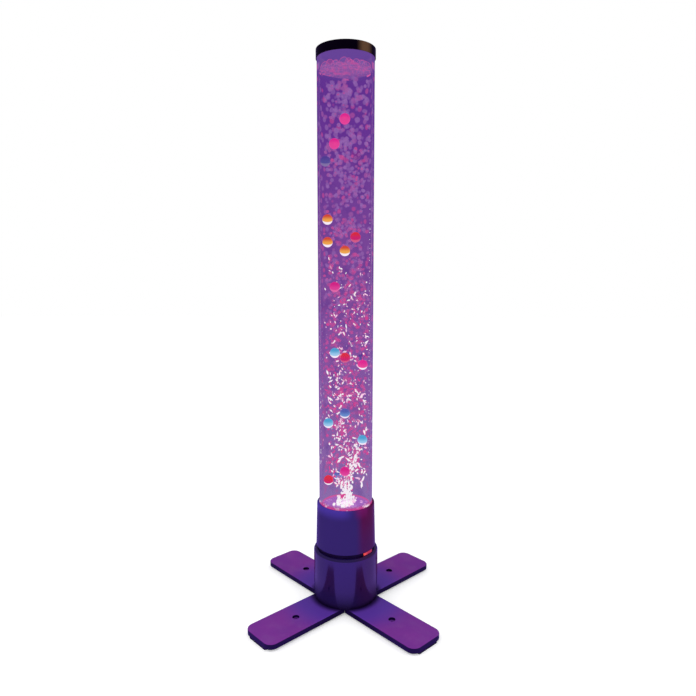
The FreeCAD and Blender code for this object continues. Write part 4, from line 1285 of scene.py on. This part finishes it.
floor_mesh = bmesh.new()
bmesh.ops.create_grid(floor_mesh, x_segments=1, y_segments=1, size=6.0)
floor = as_piece("studio_floor", floor_mesh)
floor_material, tree, surface = blank("floor_white")
seen = add(tree, "LightPath").outputs
matt = add(tree, "BsdfDiffuse", {"Color": (0.86, 0.86, 0.87, 1.0)}).outputs[0]
lift = product(tree, seen["Is Camera Ray"], 0.34)
lift = add(tree, "Emission", {"Color": (1.0, 1.0, 1.0, 1.0), "Strength": lift}).outputs[0]
lit_floor = add(tree, "AddShader", {0: matt, 1: lift}).outputs[0]
# What gloss sees of the floor is painted: violet, brighter towards the front, with a painted shadow
# round the lamp's foot.
towards_back = ramp(tree, axes(tree, in_place(tree))["Y"], -0.30, 0.10)
mirror_tone = mixed(tree, towards_back, (0.27, 0.12, 1.0, 1.0), (0.20, 0.11, 0.53, 1.0))
beyond_painted_shadow = ramp(tree, length(tree, in_place(tree)), 0.075, 0.15)
mirror_tone = mixed(tree, beyond_painted_shadow, (0.02, 0.01, 0.06, 1.0), mirror_tone)
mirror_floor = add(tree, "Emission", {"Color": mirror_tone, "Strength": 1.6}).outputs[0]
sockets = {0: seen["Is Glossy Ray"], 1: lit_floor, 2: mirror_floor}
tree.links.new(add(tree, "MixShader", sockets).outputs[0], surface)
floor.data.materials.append(floor_material)

world = bpy.data.worlds.new("white_room")
world.use_nodes = True
scene.world = world
tree = world.node_tree
tree.nodes.clear()
seen = add(tree, "LightPath").outputs
backdrop = maths(tree, "MAXIMUM", seen["Is Camera Ray"], seen["Is Transmission Ray"])
room_tone = mixed(tree, seen["Is Glossy Ray"], (1.0, 1.0, 1.0, 1.0), (0.22, 0.14, 0.46, 1.0))
sockets = {"Color": room_tone, "Strength": maths(tree, "MAXIMUM", backdrop, 0.78)}
add(tree, "OutputWorld", {"Surface": add(tree, "Background", sockets).outputs[0]})


def soft_lamp(name, place, target, size, power):
    """A square soft lamp that hangs at a place and faces a target. Gloss doesn't mirror it."""
    light = bpy.data.lights.new(name, "AREA")
    light.size = size
    light.energy = power
    lamp_object = bpy.data.objects.new(name, light)
    lamp_object.location = place
    lamp_object.visible_glossy = False
    aim = bpy.data.objects.new(f"{name}_aim", None)
    aim.location = target
    for item in (lamp_object, aim):
        scene.collection.objects.link(item)
    track = lamp_object.constraints.new("TRACK_TO")
    track.target = aim
    track.track_axis = "TRACK_NEGATIVE_Z"
    track.up_axis = "UP_Y"


soft_lamp("key_lamp", (-1.5, -1.6, 2.2), (0.0, 0.0, 0.4), 2.6, 26.0)
soft_lamp("fill_lamp", (1.8, -0.9, 1.7), (0.0, 0.0, 0.4), 2.6, 10.0)

focal_pixels = 600.2
picture_width = 696
sensor_width = 36.0
camera_reach, camera_height = 1.0903, 0.6505
camera_pitch, camera_turn = math.radians(8.425), math.radians(2.4)
centre_x, centre_y = 345.75, 351.4
camera_data = bpy.data.cameras.new("photo_camera")
camera_data.sensor_width = sensor_width
camera_data.lens = focal_pixels / picture_width * sensor_width
camera_data.shift_x = 0.5 - centre_x / picture_width
camera_data.shift_y = centre_y / picture_width - 0.5
camera_data.clip_start = 0.05
camera = bpy.data.objects.new("photo_camera", camera_data)
camera.location = (
    camera_reach * math.sin(camera_turn),
    -camera_reach * math.cos(camera_turn),
    camera_height,
)
camera.rotation_euler = (math.pi / 2 - camera_pitch, 0.0, camera_turn)
scene.collection.objects.link(camera)
scene.camera = camera
